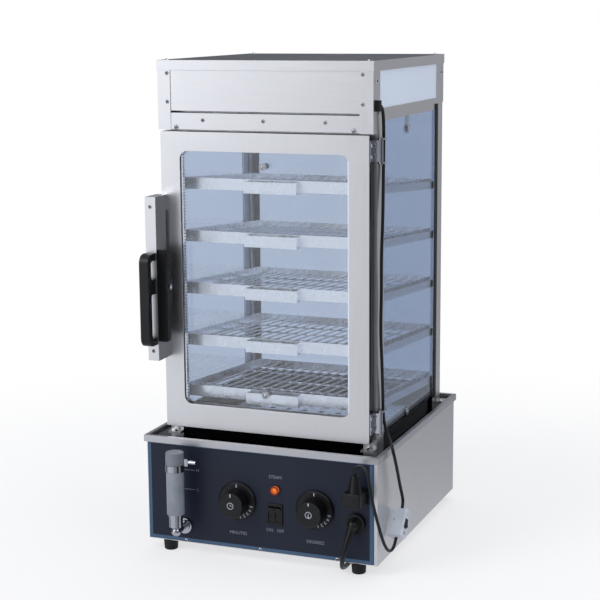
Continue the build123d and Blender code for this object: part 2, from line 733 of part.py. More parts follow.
# Double rocker switch: a frame with two pockets, and two rockers on one line
with BuildPart() as rocker_frame:
    bezel_y = BASE_FRONT - SEAT - BEZEL_T
    block(
        ROCKER_X - BEZEL_W / 2, ROCKER_X + BEZEL_W / 2, bezel_y, BASE_FRONT - SEAT,
        ROCKER_Z - BEZEL_H / 2, ROCKER_Z + BEZEL_H / 2,
    )
    fillet(rocker_frame.faces().sort_by(Axis.Y)[0].edges(), BEZEL_EDGE_R)
    block(
        ROCKER_X - SWITCH_BOX_W / 2, ROCKER_X + SWITCH_BOX_W / 2,
        BASE_FRONT - SEAT, BASE_FRONT - SEAT + SWITCH_BOX_D,
        ROCKER_Z - SWITCH_BOX_H / 2, ROCKER_Z + SWITCH_BOX_H / 2,
    )
    pocket_w = ROCKER_W + 2 * GAP
    for side in SIDES:
        pocket_x = ROCKER_X + side * (ROCKER_RIB + pocket_w) / 2
        block(
            pocket_x - pocket_w / 2, pocket_x + pocket_w / 2, bezel_y - CUT, bezel_y + ROCKER_POCKET_D,
            ROCKER_Z - ROCKER_POCKET_H / 2, ROCKER_Z + ROCKER_POCKET_H / 2, Mode.SUBTRACT,
        )
keep(rocker_frame, "rocker_frame")

ROCKER_PIVOT_Y = BASE_FRONT + ROCKER_PIVOT_IN
for name, side in (("rocker_left", -1), ("rocker_right", 1)):
    rocker_x = ROCKER_X + side * (ROCKER_RIB + pocket_w) / 2
    tilt = radians(ROCKER_TILT)
    rest = Plane(
        origin=(rocker_x, ROCKER_PIVOT_Y, ROCKER_Z), x_dir=(0, cos(tilt), sin(tilt)), z_dir=(1, 0, 0)
    )
    with BuildPart() as rocker:
        with BuildSketch(rest):
            with BuildLine():
                Polyline(
                    (-ROCKER_TIP_OUT, -ROCKER_HALF_H),
                    (ROCKER_BACK, -ROCKER_BACK_HALF_H),
                    (ROCKER_BACK, ROCKER_BACK_HALF_H),
                    (-ROCKER_TIP_OUT, ROCKER_HALF_H),
                    (-ROCKER_DIP_OUT, 0),
                    close=True,
                )
            make_face()
        extrude(amount=ROCKER_W / 2, both=True)
    keep(rocker, name)

# Lamp socket and cable gland
with BuildPart() as lamp_socket:
    flange_w = SOCKET_W / 2 + SOCKET_FLANGE
    flange_h = SOCKET_H / 2 + SOCKET_FLANGE
    block(
        SOCKET_X - flange_w, SOCKET_X + flange_w, BASE_FRONT - SEAT - SOCKET_FLANGE_T, BASE_FRONT - SEAT,
        SOCKET_Z - flange_h, SOCKET_Z + flange_h,
    )
    block(
        SOCKET_X - SOCKET_W / 2, SOCKET_X + SOCKET_W / 2, BASE_FRONT - SEAT, BASE_FRONT + SOCKET_DEPTH,
        SOCKET_Z - SOCKET_H / 2, SOCKET_Z + SOCKET_H / 2,
    )
keep(lamp_socket, "lamp_socket")

gland_out = radians(GLAND_BOOT_OUT)
gland_aside = radians(GLAND_BOOT_ASIDE)
GLAND_BOOT_DIR = (
    -sin(gland_aside),
    -sin(gland_out) * cos(gland_aside),
    -cos(gland_out) * cos(gland_aside),
)
with BuildPart() as cable_gland:
    gland_y = BASE_FRONT - SEAT
    rod((GLAND_X, gland_y, GLAND_Z), (0, -1, 0), GLAND_FLANGE_R, GLAND_FLANGE_T)
    dome_foot = (GLAND_X, gland_y - GLAND_FLANGE_T, GLAND_Z)
    taper(dome_foot, (0, -1, 0), GLAND_DOME_R, GLAND_NECK_R, GLAND_DOME_L)
    rod((GLAND_X, gland_y, GLAND_Z), (0, 1, 0), GLAND_BODY_R, GLAND_BODY_L)
    boot_foot = along(dome_foot, (0, -1, 0), GLAND_DOME_L)
    with Locations(boot_foot):
        Sphere(GLAND_BALL_R)
    taper(boot_foot, GLAND_BOOT_DIR, GLAND_BOOT_R, GLAND_BOOT_TIP_R, GLAND_BOOT_L)
    gland_tip = along(boot_foot, GLAND_BOOT_DIR, GLAND_BOOT_L)
keep(cable_gland, "cable_gland")

# Water gauge
with BuildPart() as gauge_fitting:
    rod((GAUGE_X, GAUGE_Y, COLLAR_BOTTOM), (0, 0, 1), COLLAR_R, GAUGE_TUBE_BOTTOM - GAP - COLLAR_BOTTOM)
    rod(
        (GAUGE_X, GAUGE_Y, GAUGE_TUBE_BOTTOM - GAP - COLLAR_LIP_H), (0, 0, 1),
        COLLAR_LIP_R, COLLAR_LIP_H,
    )
    rod((GAUGE_X, GAUGE_Y, GAUGE_TUBE_BOTTOM - GAP), (0, 0, 1), SPIGOT_R, GAUGE_SPIGOT_L)
    rod((GAUGE_X, GAUGE_Y, PIPE_Z), (0, 0, 1), NECK_R, COLLAR_BOTTOM - PIPE_Z)
    with Locations((GAUGE_X, GAUGE_Y, PIPE_Z)):
        Sphere(ELBOW_R)
    rod((GAUGE_X, GAUGE_Y, PIPE_Z), (0, 1, 0), PIPE_R, BASE_FRONT + PIPE_TAIL_L - GAUGE_Y)
    rod((GAUGE_X, BASE_FRONT - SEAT, PIPE_Z), (0, -1, 0), PIPE_NUT_R, PIPE_NUT_T)
    rod((GAUGE_X, BASE_FRONT - SEAT - PIPE_NUT_T, PIPE_Z), (0, -1, 0), PIPE_RING_R, PIPE_RING_T)
keep(gauge_fitting, "gauge_fitting")

with BuildPart() as gauge_tube:
    rod((GAUGE_X, GAUGE_Y, GAUGE_TUBE_BOTTOM), (0, 0, 1), GAUGE_TUBE_R, GAUGE_TUBE_TOP - GAUGE_TUBE_BOTTOM)
    rod(
        (GAUGE_X, GAUGE_Y, GAUGE_TUBE_BOTTOM + GAUGE_TUBE_WALL), (0, 0, 1),
        GAUGE_TUBE_R - GAUGE_TUBE_WALL, GAUGE_TUBE_TOP - GAUGE_TUBE_BOTTOM, Mode.SUBTRACT,
    )
    rod(
        (GAUGE_X, GAUGE_Y, GAUGE_TUBE_BOTTOM - CUT), (0, 0, 1),
        SPIGOT_R + GAP, GAUGE_TUBE_WALL + 2 * CUT, Mode.SUBTRACT,
    )
keep(gauge_tube, "gauge_tube")

with BuildPart() as gauge_cap:
    cap_z = GAUGE_TUBE_TOP + GAP
    rod((GAUGE_X, GAUGE_Y, cap_z), (0, 0, 1), GAUGE_CAP_R, GAUGE_CAP_H)
    fillet(gauge_cap.edges().group_by(Axis.Z)[-1], GAUGE_CAP_EDGE_R)
    rod(
        (GAUGE_X, GAUGE_Y, cap_z), (0, 0, -1),
        GAUGE_TUBE_R - GAUGE_TUBE_WALL - GAP, GAUGE_SPIGOT_L,
    )
keep(gauge_cap, "gauge_cap")

with BuildPart() as gauge_clamp:
    clamp_z = GAUGE_TUBE_TOP - CLAMP_H
    clamp_box_x = GAUGE_X + CLAMP_R - CLAMP_BAND / 2
    clamp_box_z = clamp_z + CLAMP_BOX_RISE
    rod((GAUGE_X, GAUGE_Y, clamp_z), (0, 0, 1), CLAMP_R, CLAMP_H)
    block(
        clamp_box_x, clamp_box_x + CLAMP_BOX_W, GAUGE_Y, GAUGE_Y + CLAMP_BOX_W,
        clamp_box_z, clamp_box_z + CLAMP_BOX_H,
    )
    rod(
        (clamp_box_x + CLAMP_BOX_W / 2, GAUGE_Y + CLAMP_BOX_W / 2, clamp_box_z + CLAMP_BOX_H / 2), (1, 0, 0),
        CLAMP_SCREW_R, CLAMP_BOX_W / 2 + CLAMP_SCREW_L,
    )
    rod(
        (GAUGE_X, GAUGE_Y, clamp_z - CUT), (0, 0, 1),
        GAUGE_TUBE_R + GAP, CLAMP_H + 2 * CUT, Mode.SUBTRACT,
    )
keep(gauge_clamp, "gauge_clamp")

# Corner posts: four angles, each with a bracket on the tray
CORNERS = [(sx, sy) for sx in SIDES for sy in SIDES]
with BuildPart() as corner_posts:
    post_z0 = TRAY_TOP + SEAT
    for sx, sy in CORNERS:
        y_face = POST_FRONT if sy < 0 else POST_REAR
        y_depth = POST_SIDE if sy < 0 else -POST_REAR_SIDE
        y_leg = ANGLE_T if sy < 0 else -ANGLE_T
        block(*sorted((sx * POST_X, sx * POST_IN)), *sorted((y_face, y_face + y_depth)), post_z0, POST_TOP)
        block(*sorted((sx * POST_X, sx * LEG_X)), *sorted((y_face, y_face + y_leg)), post_z0, POST_TOP)
    for x, y, dx, dy in BRACKETS:
        half_w = BRACKET_W / 2
        foot_z = post_z0 + BRACKET_T
        if dy:
            block(x - half_w, x + half_w, y - BRACKET_REACH, y, post_z0, foot_z)
            block(x - half_w, x + half_w, y - BRACKET_T, y, post_z0, post_z0 + BRACKET_H)
        else:
            block(*sorted((x, x + dx * BRACKET_REACH)), y - half_w, y + half_w, post_z0, foot_z)
            block(*sorted((x, x + dx * BRACKET_T)), y - half_w, y + half_w, post_z0, post_z0 + BRACKET_H)
    for place in BRACKET_SCREWS:
        bore(*place)

# Rails: sill and lintel plates in front, and angles round the other three sides
HINGE_X = HEAD_HALF_W + HINGE_OUT
HINGE_Y = POST_FRONT - HINGE_FRONT
GLASS_BOLT_ZS = (SILL_TOP - SILL_H + GLASS_BOLT_FOOT_RISE, POST_TOP - GLASS_BOLT_TOP_DROP)
GLASS_BOLT_Y = CENTRE_Y
with BuildPart() as frame_rails:
    rail_z0 = POST_TOP - TOP_RAIL_H
    plate_x = LEG_X - SEAT
    sill_z0 = TRAY_TOP + SEAT
    block(-plate_x, plate_x, POST_FRONT, POST_FRONT + ANGLE_T, sill_z0, SILL_TOP)
    block(-plate_x, plate_x, POST_FRONT, POST_FRONT + RAIL_FLANGE, sill_z0, sill_z0 + ANGLE_T)
    block(-plate_x, plate_x, POST_FRONT, POST_FRONT + ANGLE_T, POST_TOP - LINTEL_H, POST_TOP)
    block(-plate_x, plate_x, POST_FRONT, POST_FRONT + RAIL_FLANGE, POST_TOP - ANGLE_T, POST_TOP)
    side_y0 = POST_FRONT + POST_SIDE + SEAT
    side_y1 = POST_REAR - POST_REAR_SIDE - SEAT
    for side in SIDES:
        block(*sorted((side * POST_X, side * POST_IN)), side_y0, side_y1, rail_z0, POST_TOP)
        block(
            *sorted((side * POST_X, side * (POST_IN - RAIL_FLANGE))), side_y0, side_y1,
            POST_TOP - ANGLE_T, POST_TOP,
        )
        block(
            *sorted((side * FRAME_X, side * (FRAME_X - ANGLE_T))),
            POST_FRONT + RAIL_FLANGE + GAP, FRAME_Y - ANGLE_T - SEAT, sill_z0, SILL_TOP,
        )
        block(
            *sorted((side * FRAME_X, side * (FRAME_X - RAIL_FLANGE))),
            POST_FRONT + RAIL_FLANGE + GAP, FRAME_Y - RAIL_FLANGE - SEAT, sill_z0, sill_z0 + ANGLE_T,
        )
        block(
            *sorted((side * FRAME_X, side * (FRAME_X - ANGLE_T))),
            GLASS_BOLT_Y - HANGER_W / 2, GLASS_BOLT_Y + HANGER_W / 2,
            POST_TOP - ANGLE_T - HANGER_H - HANGER_W / 2, POST_TOP,
        )
        block(
            *sorted((side * POST_IN, side * (FRAME_X - ANGLE_T))),
            GLASS_BOLT_Y - HANGER_W / 2, GLASS_BOLT_Y + HANGER_W / 2,
            POST_TOP - ANGLE_T, POST_TOP,
        )
    block(-plate_x, plate_x, POST_REAR - ANGLE_T, POST_REAR, rail_z0, POST_TOP)
    block(-plate_x, plate_x, POST_REAR - RAIL_FLANGE, POST_REAR, POST_TOP - ANGLE_T, POST_TOP)
    block(-FRAME_X, FRAME_X, FRAME_Y - ANGLE_T, FRAME_Y, sill_z0, SILL_TOP)
    block(-FRAME_X, FRAME_X, FRAME_Y - RAIL_FLANGE, FRAME_Y, sill_z0, sill_z0 + ANGLE_T)
    for side in SIDES:
        for bolt_z in GLASS_BOLT_ZS:
            rod(
                (side * (POST_X + CUT), GLASS_BOLT_Y, bolt_z), (-side, 0, 0),
                GLASS_BOLT_R + GAP, POST_X - FRAME_X + ANGLE_T + 2 * CUT, Mode.SUBTRACT,
            )
keep(frame_rails, "frame_rails")

# Glass: two side panes and a rear one
with BuildPart() as glass_panes:
    for side in SIDES:
        block(*sorted((side * GLASS_X1, side * GLASS_X0)), GLASS_Y0, GLASS_Y1, GLASS_Z0, GLASS_Z1)
        for bolt_z in GLASS_BOLT_ZS:
            rod(
                (side * (GLASS_X1 + CUT), GLASS_BOLT_Y, bolt_z), (-side, 0, 0),
                GLASS_BOLT_R + GAP, GLASS_T + 2 * CUT, Mode.SUBTRACT,
            )
    block(-GLASS_X1, GLASS_X1, GLASS_Y2, GLASS_Y3, GLASS_Z0, GLASS_Z1)
keep(glass_panes, "glass_panes")


def glass_bolt(point, direction, length):
    """A bolt on a cup washer on the outside of a pane, with its nut at the inner end."""
    inward = tuple(-d for d in direction)
    cup = along(point, direction, SEAT)
    rod(cup, direction, GLASS_CUP_R, GLASS_CUP_T)
    dome(along(cup, direction, GLASS_CUP_T), direction, GLASS_BOLT_HEAD_R, GLASS_BOLT_HEAD_H)
    rod(cup, inward, GLASS_BOLT_R, length + GLASS_NUT_T)
    rod(along(point, inward, length), inward, GLASS_NUT_R, GLASS_NUT_T)


with BuildPart() as glass_bolts:
    bolt_l = GLASS_X1 - FRAME_X + ANGLE_T + SEAT
    for side in SIDES:
        for bolt_z in GLASS_BOLT_ZS:
            glass_bolt((side * GLASS_X1, GLASS_BOLT_Y, bolt_z), (side, 0, 0), bolt_l)
keep(glass_bolts, "glass_bolts")

# Seals: a black band down the outside of each rear post
with BuildPart() as glass_seals:
    seal_y1 = POST_REAR - SEAL_FROM_REAR
    for side in SIDES:
        seal_x = POST_X + SEAT
        block(
            *sorted((side * seal_x, side * (seal_x + SEAL_T))), seal_y1 - SEAL_W, seal_y1,
            post_z0 + BRACKET_H + GAP, POST_TOP - SEAL_END_GAP,
        )
keep(glass_seals, "glass_seals")

# Rack: folded strips round a grid of wires, made once in the lowest place
RACK_X = LEG_X - RACK_PLAY
RACK_Y0 = POST_FRONT + RACK_SETBACK
RACK_Y1 = FRAME_Y - RACK_REAR_GAP
RACK_DEPTH = RACK_Y1 - RACK_Y0
RACK_SLOPE = RACK_FALL / RACK_DEPTH


def rack_z(y, below=0.0):
    """Height of the sloping plane that lies some way under the lowest rack's upper edge."""
    return RACK_TOP_Z - below - (y - RACK_Y0) * RACK_SLOPE


def sloped_bar(x0, x1, y0, y1, below_top, below_foot):
    """Add a bar between two sloping planes, from one Y to another."""
    with BuildSketch(Plane.YZ.offset(x0)) as profile:
        with BuildLine():
            Polyline(
                (y0, rack_z(y0, below_top)),
                (y1, rack_z(y1, below_top)),
                (y1, rack_z(y1, below_foot)),
                (y0, rack_z(y0, below_foot)),
                close=True,
            )
        make_face()
    extrude(profile.sketch, amount=x1 - x0)


WIRE_BELOW = RACK_SIDE_H - RACK_WIRE_RISE
CROSS_BELOW = WIRE_BELOW + 2 * RACK_WIRE_R - RACK_T / 2
WIRE_PITCH = 2 * RACK_X / (RACK_WIRES + 1)
with BuildPart() as first_rack:
    block(-RACK_X, RACK_X, RACK_Y0, RACK_Y0 + RACK_T, RACK_TOP_Z - RACK_STRIP_H, RACK_TOP_Z)
    for side in SIDES:
        side_x = sorted((side * RACK_X, side * (RACK_X - RACK_T)))
        sloped_bar(*side_x, RACK_Y0, RACK_Y1, 0, RACK_SIDE_H)
    sloped_bar(-RACK_X, RACK_X, RACK_Y1 - RACK_T, RACK_Y1, 0, RACK_SIDE_H)
    tab_y = RACK_Y0 - RACK_TAB_OUT
    tab_z1 = RACK_TOP_Z - RACK_TAB_DROP
    tab_z0 = tab_z1 - RACK_STRIP_H
    tab_x = RACK_TAB_W / 2
    block(-tab_x, tab_x, tab_y, RACK_Y0 + RACK_T, tab_z0, tab_z1)
    block(
        -tab_x + RACK_T, tab_x - RACK_T, tab_y + RACK_T, RACK_Y0,
        tab_z0 - CUT, tab_z1 + CUT, Mode.SUBTRACT,
    )

# Rack grid: wires from front to back on cross wires, inside the strips
with BuildPart() as first_grid:
    slope_dir = (0, cos(atan(RACK_SLOPE)), -sin(atan(RACK_SLOPE)))
    wire_y = RACK_Y0 + RACK_T + 2 * GAP
    wire_l = (RACK_Y1 - RACK_T - 2 * GAP - wire_y) / cos(atan(RACK_SLOPE))
    for step in range(RACK_WIRES):
        wire_x = (step + 1) * WIRE_PITCH - RACK_X
        rod((wire_x, wire_y, rack_z(wire_y, WIRE_BELOW)), slope_dir, RACK_WIRE_R, wire_l)
    for step in range(RACK_CROSS_WIRES):
        cross_y = RACK_Y0 + (step + 1) * RACK_DEPTH / (RACK_CROSS_WIRES + 1)
        cross_x = RACK_X - RACK_T - GAP
        rod((-cross_x, cross_y, rack_z(cross_y, CROSS_BELOW)), (1, 0, 0), RACK_WIRE_R, 2 * cross_x)

for number in range(RACK_COUNT):
    rise = Location((0, 0, number * RACK_PITCH))
    with BuildPart() as rack:
        add(first_rack.part.moved(rise))
    keep(rack, f"rack_{number + 1}")
    with BuildPart() as grid:
        add(first_grid.part.moved(rise))
    keep(grid, f"rack_grid_{number + 1}")

# Rack uprights: two on each side, inside the rails
RUNNER_Y0 = RACK_Y0 + RACK_T + GAP
RUNNER_Y1 = FRAME_Y - ANGLE_T - SEAT
UPRIGHT_IN = FRAME_X - ANGLE_T
with BuildPart() as rack_uprights:
    upright_z0 = SILL_TOP + GAP
    upright_z1 = POST_TOP - ANGLE_T - GAP
    for side in SIDES:
        upright_x = sorted((side * FRAME_X, side * UPRIGHT_IN))
        block(*upright_x, RUNNER_Y0, RUNNER_Y0 + UPRIGHT_W, upright_z0, upright_z1)
        block(*upright_x, RUNNER_Y1 - UPRIGHT_W, RUNNER_Y1, upright_z0, upright_z1)
keep(rack_uprights, "rack_uprights")

# Rack runners: sloping angles on the uprights
with BuildPart() as rack_runners:
    runner_x = UPRIGHT_IN - SEAT
    for side in SIDES:
        leg_x = sorted((side * runner_x, side * (runner_x - RUNNER_T)))
        shelf_x = sorted((side * runner_x, side * (runner_x - RUNNER_SHELF)))
        for number in range(RACK_COUNT):
            shelf_top = RACK_SIDE_H + GAP - number * RACK_PITCH
            sloped_bar(*leg_x, RUNNER_Y0, RUNNER_Y1, shelf_top - RUNNER_LEG, shelf_top)
            sloped_bar(*shelf_x, RUNNER_Y0, RUNNER_Y1, shelf_top, shelf_top + RUNNER_T)
keep(rack_runners, "rack_runners")

# Hinges: leaves and pins on the posts, leaves and knuckles on the door
HINGE_ZS = (HINGE_FOOT_Z, HINGE_TOP_Z)
HINGE_SCREW_Y = POST_FRONT + HINGE_LEAF_L / 2 + HINGE_LEAF_T
POST_LEAF_X = POST_X + SEAT
HINGE_POST_SCREWS = [
    ((POST_LEAF_X + HINGE_LEAF_T, HINGE_SCREW_Y, hinge_z + rise), (1, 0, 0))
    for hinge_z in HINGE_ZS
    for rise in (-HINGE_SCREW_RISE, HINGE_SCREW_RISE)
]
with BuildPart() as hinge_post_leaves:
    for hinge_z in HINGE_ZS:
        leaf_y1 = POST_FRONT + HINGE_LEAF_L
        hinge_z0 = hinge_z - HINGE_HALF_H
        hinge_z1 = hinge_z + HINGE_HALF_H
        block(POST_LEAF_X, POST_LEAF_X + HINGE_LEAF_T, POST_FRONT, leaf_y1, hinge_z0, hinge_z1)
        for ear_z in (hinge_z0, hinge_z1 - HINGE_EAR_T):
            block(POST_LEAF_X, HINGE_X + HINGE_EYE_R, HINGE_Y, leaf_y1, ear_z, ear_z + HINGE_EAR_T)
            rod((HINGE_X, HINGE_Y, ear_z), (0, 0, 1), HINGE_EYE_R, HINGE_EAR_T)
        rod((HINGE_X, HINGE_Y, hinge_z0), (0, 0, 1), HINGE_PIN_R, 2 * HINGE_HALF_H)
        for head_z in (hinge_z0 - HINGE_HEAD_H, hinge_z1):
            rod((HINGE_X, HINGE_Y, head_z), (0, 0, 1), HINGE_HEAD_R, HINGE_HEAD_H)
    for place in HINGE_POST_SCREWS:
        bore(*place)
keep(hinge_post_leaves, "hinge_post_leaves")

HINGE_DOOR_Y = (DOOR_FRONT + DOOR_BACK) / 2
DOOR_LEAF_X = DOOR_X1 + SEAT
HINGE_DOOR_SCREWS = [
    ((DOOR_LEAF_X + HINGE_LEAF_T, HINGE_DOOR_Y - HINGE_LEAF_T, hinge_z + rise), (1, 0, 0))
    for hinge_z in HINGE_ZS
    for rise in (-HINGE_SCREW_RISE, HINGE_SCREW_RISE)
]
with BuildPart() as hinge_door_leaves:
    for hinge_z in HINGE_ZS:
        half_h = HINGE_HALF_H - HINGE_EAR_T - HINGE_PLAY
        block(
            DOOR_LEAF_X, DOOR_LEAF_X + HINGE_LEAF_T, DOOR_FRONT + HINGE_LEAF_T, DOOR_BACK,
            hinge_z - half_h, hinge_z + half_h,
        )
        block(
            DOOR_LEAF_X, HINGE_X, DOOR_BACK - HINGE_LEAF_T, DOOR_BACK,
            hinge_z - half_h, hinge_z + half_h,
        )
        rod((HINGE_X, HINGE_Y, hinge_z - half_h), (0, 0, 1), HINGE_KNUCKLE_R, 2 * half_h)
        rod(
            (HINGE_X, HINGE_Y, hinge_z - half_h - CUT), (0, 0, 1),
            HINGE_PIN_R + RUN, 2 * half_h + 2 * CUT, Mode.SUBTRACT,
        )
    for place in HINGE_DOOR_SCREWS:
        bore(*place)
keep(hinge_door_leaves, "hinge_door_leaves")

with corner_posts:
    for place in HINGE_POST_SCREWS:
        bore(*place)

# Door: a front pan, a lid with an inner fold, two panes between them
WINDOW_X0 = DOOR_X0 + STILE
WINDOW_X1 = DOOR_X1 - STILE
WINDOW_Z0 = DOOR_BOTTOM + DOOR_BOTTOM_RAIL
WINDOW_Z1 = DOOR_TOP - DOOR_TOP_RAIL
WINDOW_X = (WINDOW_X0 + WINDOW_X1) / 2
WINDOW_Z = (WINDOW_Z0 + WINDOW_Z1) / 2


def window(y0, y1):
    """Cut the door's window from one Y to another."""
    outline_plane = Plane(origin=(WINDOW_X, y0, WINDOW_Z), x_dir=(1, 0, 0), z_dir=(0, 1, 0))
    with BuildSketch(outline_plane) as outline:
        RectangleRounded(WINDOW_X1 - WINDOW_X0, WINDOW_Z1 - WINDOW_Z0, WINDOW_R)
    extrude(outline.sketch, amount=y1 - y0, mode=Mode.SUBTRACT)


LID_Y0 = DOOR_BACK - SHEET
CHANNEL_X = DOOR_X0 - CHANNEL_OUT
CHANNEL_BACK = DOOR_FRONT - CHANNEL_OFF
CHANNEL_FRONT = CHANNEL_BACK - CHANNEL_DEPTH
SPACER_ZS = (CHANNEL_BOTTOM + SPACER_H / 2, CHANNEL_TOP - SPACER_H / 2)
CHANNEL_SCREWS = [
    ((CHANNEL_X, CHANNEL_FRONT, z), (0, -1, 0))
    for z in (CHANNEL_BOTTOM + SPACER_SCREW_IN, CHANNEL_TOP - SPACER_SCREW_IN)
]
with BuildPart() as door_frame:
    block(DOOR_X0, DOOR_X1, DOOR_FRONT, LID_Y0 - SEAT, DOOR_BOTTOM, DOOR_TOP)
    block(
        DOOR_X0 + SHEET, DOOR_X1 - SHEET, DOOR_FRONT + SHEET, LID_Y0 + CUT,
        DOOR_BOTTOM + SHEET, DOOR_TOP - SHEET, Mode.SUBTRACT,
    )
    window(DOOR_FRONT - CUT, DOOR_FRONT + SHEET + CUT)
    for place in HINGE_DOOR_SCREWS:
        bore(*place)
keep(door_frame, "door_frame")

with BuildPart() as door_back:
    fold_in = SHEET + SEAT
    block(DOOR_X0, DOOR_X1, LID_Y0, DOOR_BACK, DOOR_BOTTOM, DOOR_TOP)
    block(
        DOOR_X0 + fold_in, DOOR_X1 - fold_in, LID_Y0 - DOOR_LID_FOLD, DOOR_BACK,
        DOOR_BOTTOM + fold_in, DOOR_TOP - fold_in,
    )
    block(
        DOOR_X0 + fold_in + SHEET, DOOR_X1 - fold_in - SHEET, LID_Y0 - DOOR_LID_FOLD - CUT, LID_Y0,
        DOOR_BOTTOM + fold_in + SHEET, DOOR_TOP - fold_in - SHEET, Mode.SUBTRACT,
    )
    window(LID_Y0 - CUT, DOOR_BACK + CUT)
    for place in HINGE_DOOR_SCREWS:
        bore(*place)
keep(door_back, "door_back")

PANE_YS = (DOOR_FRONT + SHEET + SEAT, LID_Y0 - SEAT - GLASS_T)
DOOR_BOLT_ZS = (WINDOW_Z0 + DOOR_BOLT_FOOT_RISE, WINDOW_Z1 - DOOR_BOLT_TOP_DROP)
with BuildPart() as door_glass:
    for pane_y in PANE_YS:
        block(
            WINDOW_X0 - GLASS_LAP, WINDOW_X1 + GLASS_LAP, pane_y, pane_y + GLASS_T,
            WINDOW_Z0 - GLASS_LAP, WINDOW_Z1 + GLASS_LAP,
        )
    for bolt_z in DOOR_BOLT_ZS:
        rod(
            (WINDOW_X, DOOR_FRONT - CUT, bolt_z), (0, 1, 0),
            GLASS_BOLT_R + GAP, DOOR_T + 2 * CUT, Mode.SUBTRACT,
        )
keep(door_glass, "door_glass")

with BuildPart() as door_gasket:
    gasket_y = DOOR_BACK + SEAT
    gasket_x0 = DOOR_X0 + GASKET_INSET
    gasket_x1 = DOOR_X1 - GASKET_INSET
    gasket_z0 = DOOR_BOTTOM + GASKET_INSET
    gasket_z1 = DOOR_TOP - GASKET_INSET
    block(gasket_x0, gasket_x1, gasket_y, gasket_y + GASKET_T, gasket_z0, gasket_z1)
    block(
        gasket_x0 + GASKET_W, gasket_x1 - GASKET_W, gasket_y - CUT, gasket_y + GASKET_T + CUT,
        gasket_z0 + GASKET_W, gasket_z1 - GASKET_W, Mode.SUBTRACT,
    )
keep(door_gasket, "door_gasket")

# Handle channel: three sides of sheet, open towards the door, on two spacers
LEVER_Y = CHANNEL_FRONT + LEVER_PIN_IN
CHANNEL_X0 = CHANNEL_X - CHANNEL_W / 2
CHANNEL_X1 = CHANNEL_X + CHANNEL_W / 2
with BuildPart() as handle_channel:
    block(CHANNEL_X0, CHANNEL_X1, CHANNEL_FRONT, CHANNEL_BACK, CHANNEL_BOTTOM, CHANNEL_TOP)
    block(
        CHANNEL_X0 + ANGLE_T, CHANNEL_X1 - ANGLE_T, CHANNEL_FRONT + ANGLE_T, CHANNEL_BACK + CUT,
        CHANNEL_BOTTOM - CUT, CHANNEL_TOP + CUT, Mode.SUBTRACT,
    )
    for spacer_z in SPACER_ZS:
        block(
            CHANNEL_X0 + ANGLE_T / 2, CHANNEL_X1 - ANGLE_T / 2, CHANNEL_FRONT + ANGLE_T / 2, DOOR_FRONT - SEAT,
            spacer_z - SPACER_H / 2, spacer_z + SPACER_H / 2,
        )
    for place in CHANNEL_SCREWS:
        bore(*place)
    rod(
        (CHANNEL_X0 - CUT, LEVER_Y, LEVER_Z), (1, 0, 0), LEVER_PIN_R + RUN,
        ANGLE_T + 2 * CUT, Mode.SUBTRACT,
    )
    rod(
        (CHANNEL_X1 - ANGLE_T - CUT, LEVER_Y, LEVER_Z), (1, 0, 0), LEVER_HUB_R + GAP,
        ANGLE_T + 2 * CUT, Mode.SUBTRACT,
    )
keep(handle_channel, "handle_channel")

# Grip: a loop that stands in front of the channel, with a bridge between its two slots
with BuildPart() as handle_grip:
    grip_y0 = CHANNEL_FRONT - SEAT - GRIP_OUT
    grip_y1 = CHANNEL_FRONT - SEAT
    slot_y0 = grip_y0 + GRIP_BAR
    with BuildSketch(Plane.YZ.offset(CHANNEL_X - GRIP_W / 2)):
        with BuildLine():
            Polyline(
                (grip_y1, GRIP_BOTTOM), (grip_y0, GRIP_BOTTOM), (grip_y0, GRIP_TOP), (grip_y1, GRIP_TOP),
                close=True,
            )
        make_face()
    extrude(amount=GRIP_W)
    front_edges = handle_grip.edges().filter_by(Axis.X).group_by(Axis.Y)[0]
    fillet(front_edges, GRIP_R)
    slot_spans = ((GRIP_BOTTOM + GRIP_LEG, GRIP_BRIDGE_Z0), (GRIP_BRIDGE_Z1, GRIP_TOP - GRIP_LEG))
    for slot_z0, slot_z1 in slot_spans:
        slot_depth = grip_y1 - slot_y0 + CUT
        slot_plane = Plane(
            origin=(CHANNEL_X - GRIP_W / 2 - CUT, slot_y0 + slot_depth / 2, (slot_z0 + slot_z1) / 2),
            x_dir=(0, 1, 0), z_dir=(1, 0, 0),
        )
        with BuildSketch(slot_plane):
            RectangleRounded(slot_depth, slot_z1 - slot_z0, GRIP_SLOT_R)
        extrude(amount=GRIP_W + 2 * CUT, mode=Mode.SUBTRACT)
keep(handle_grip, "handle_grip")

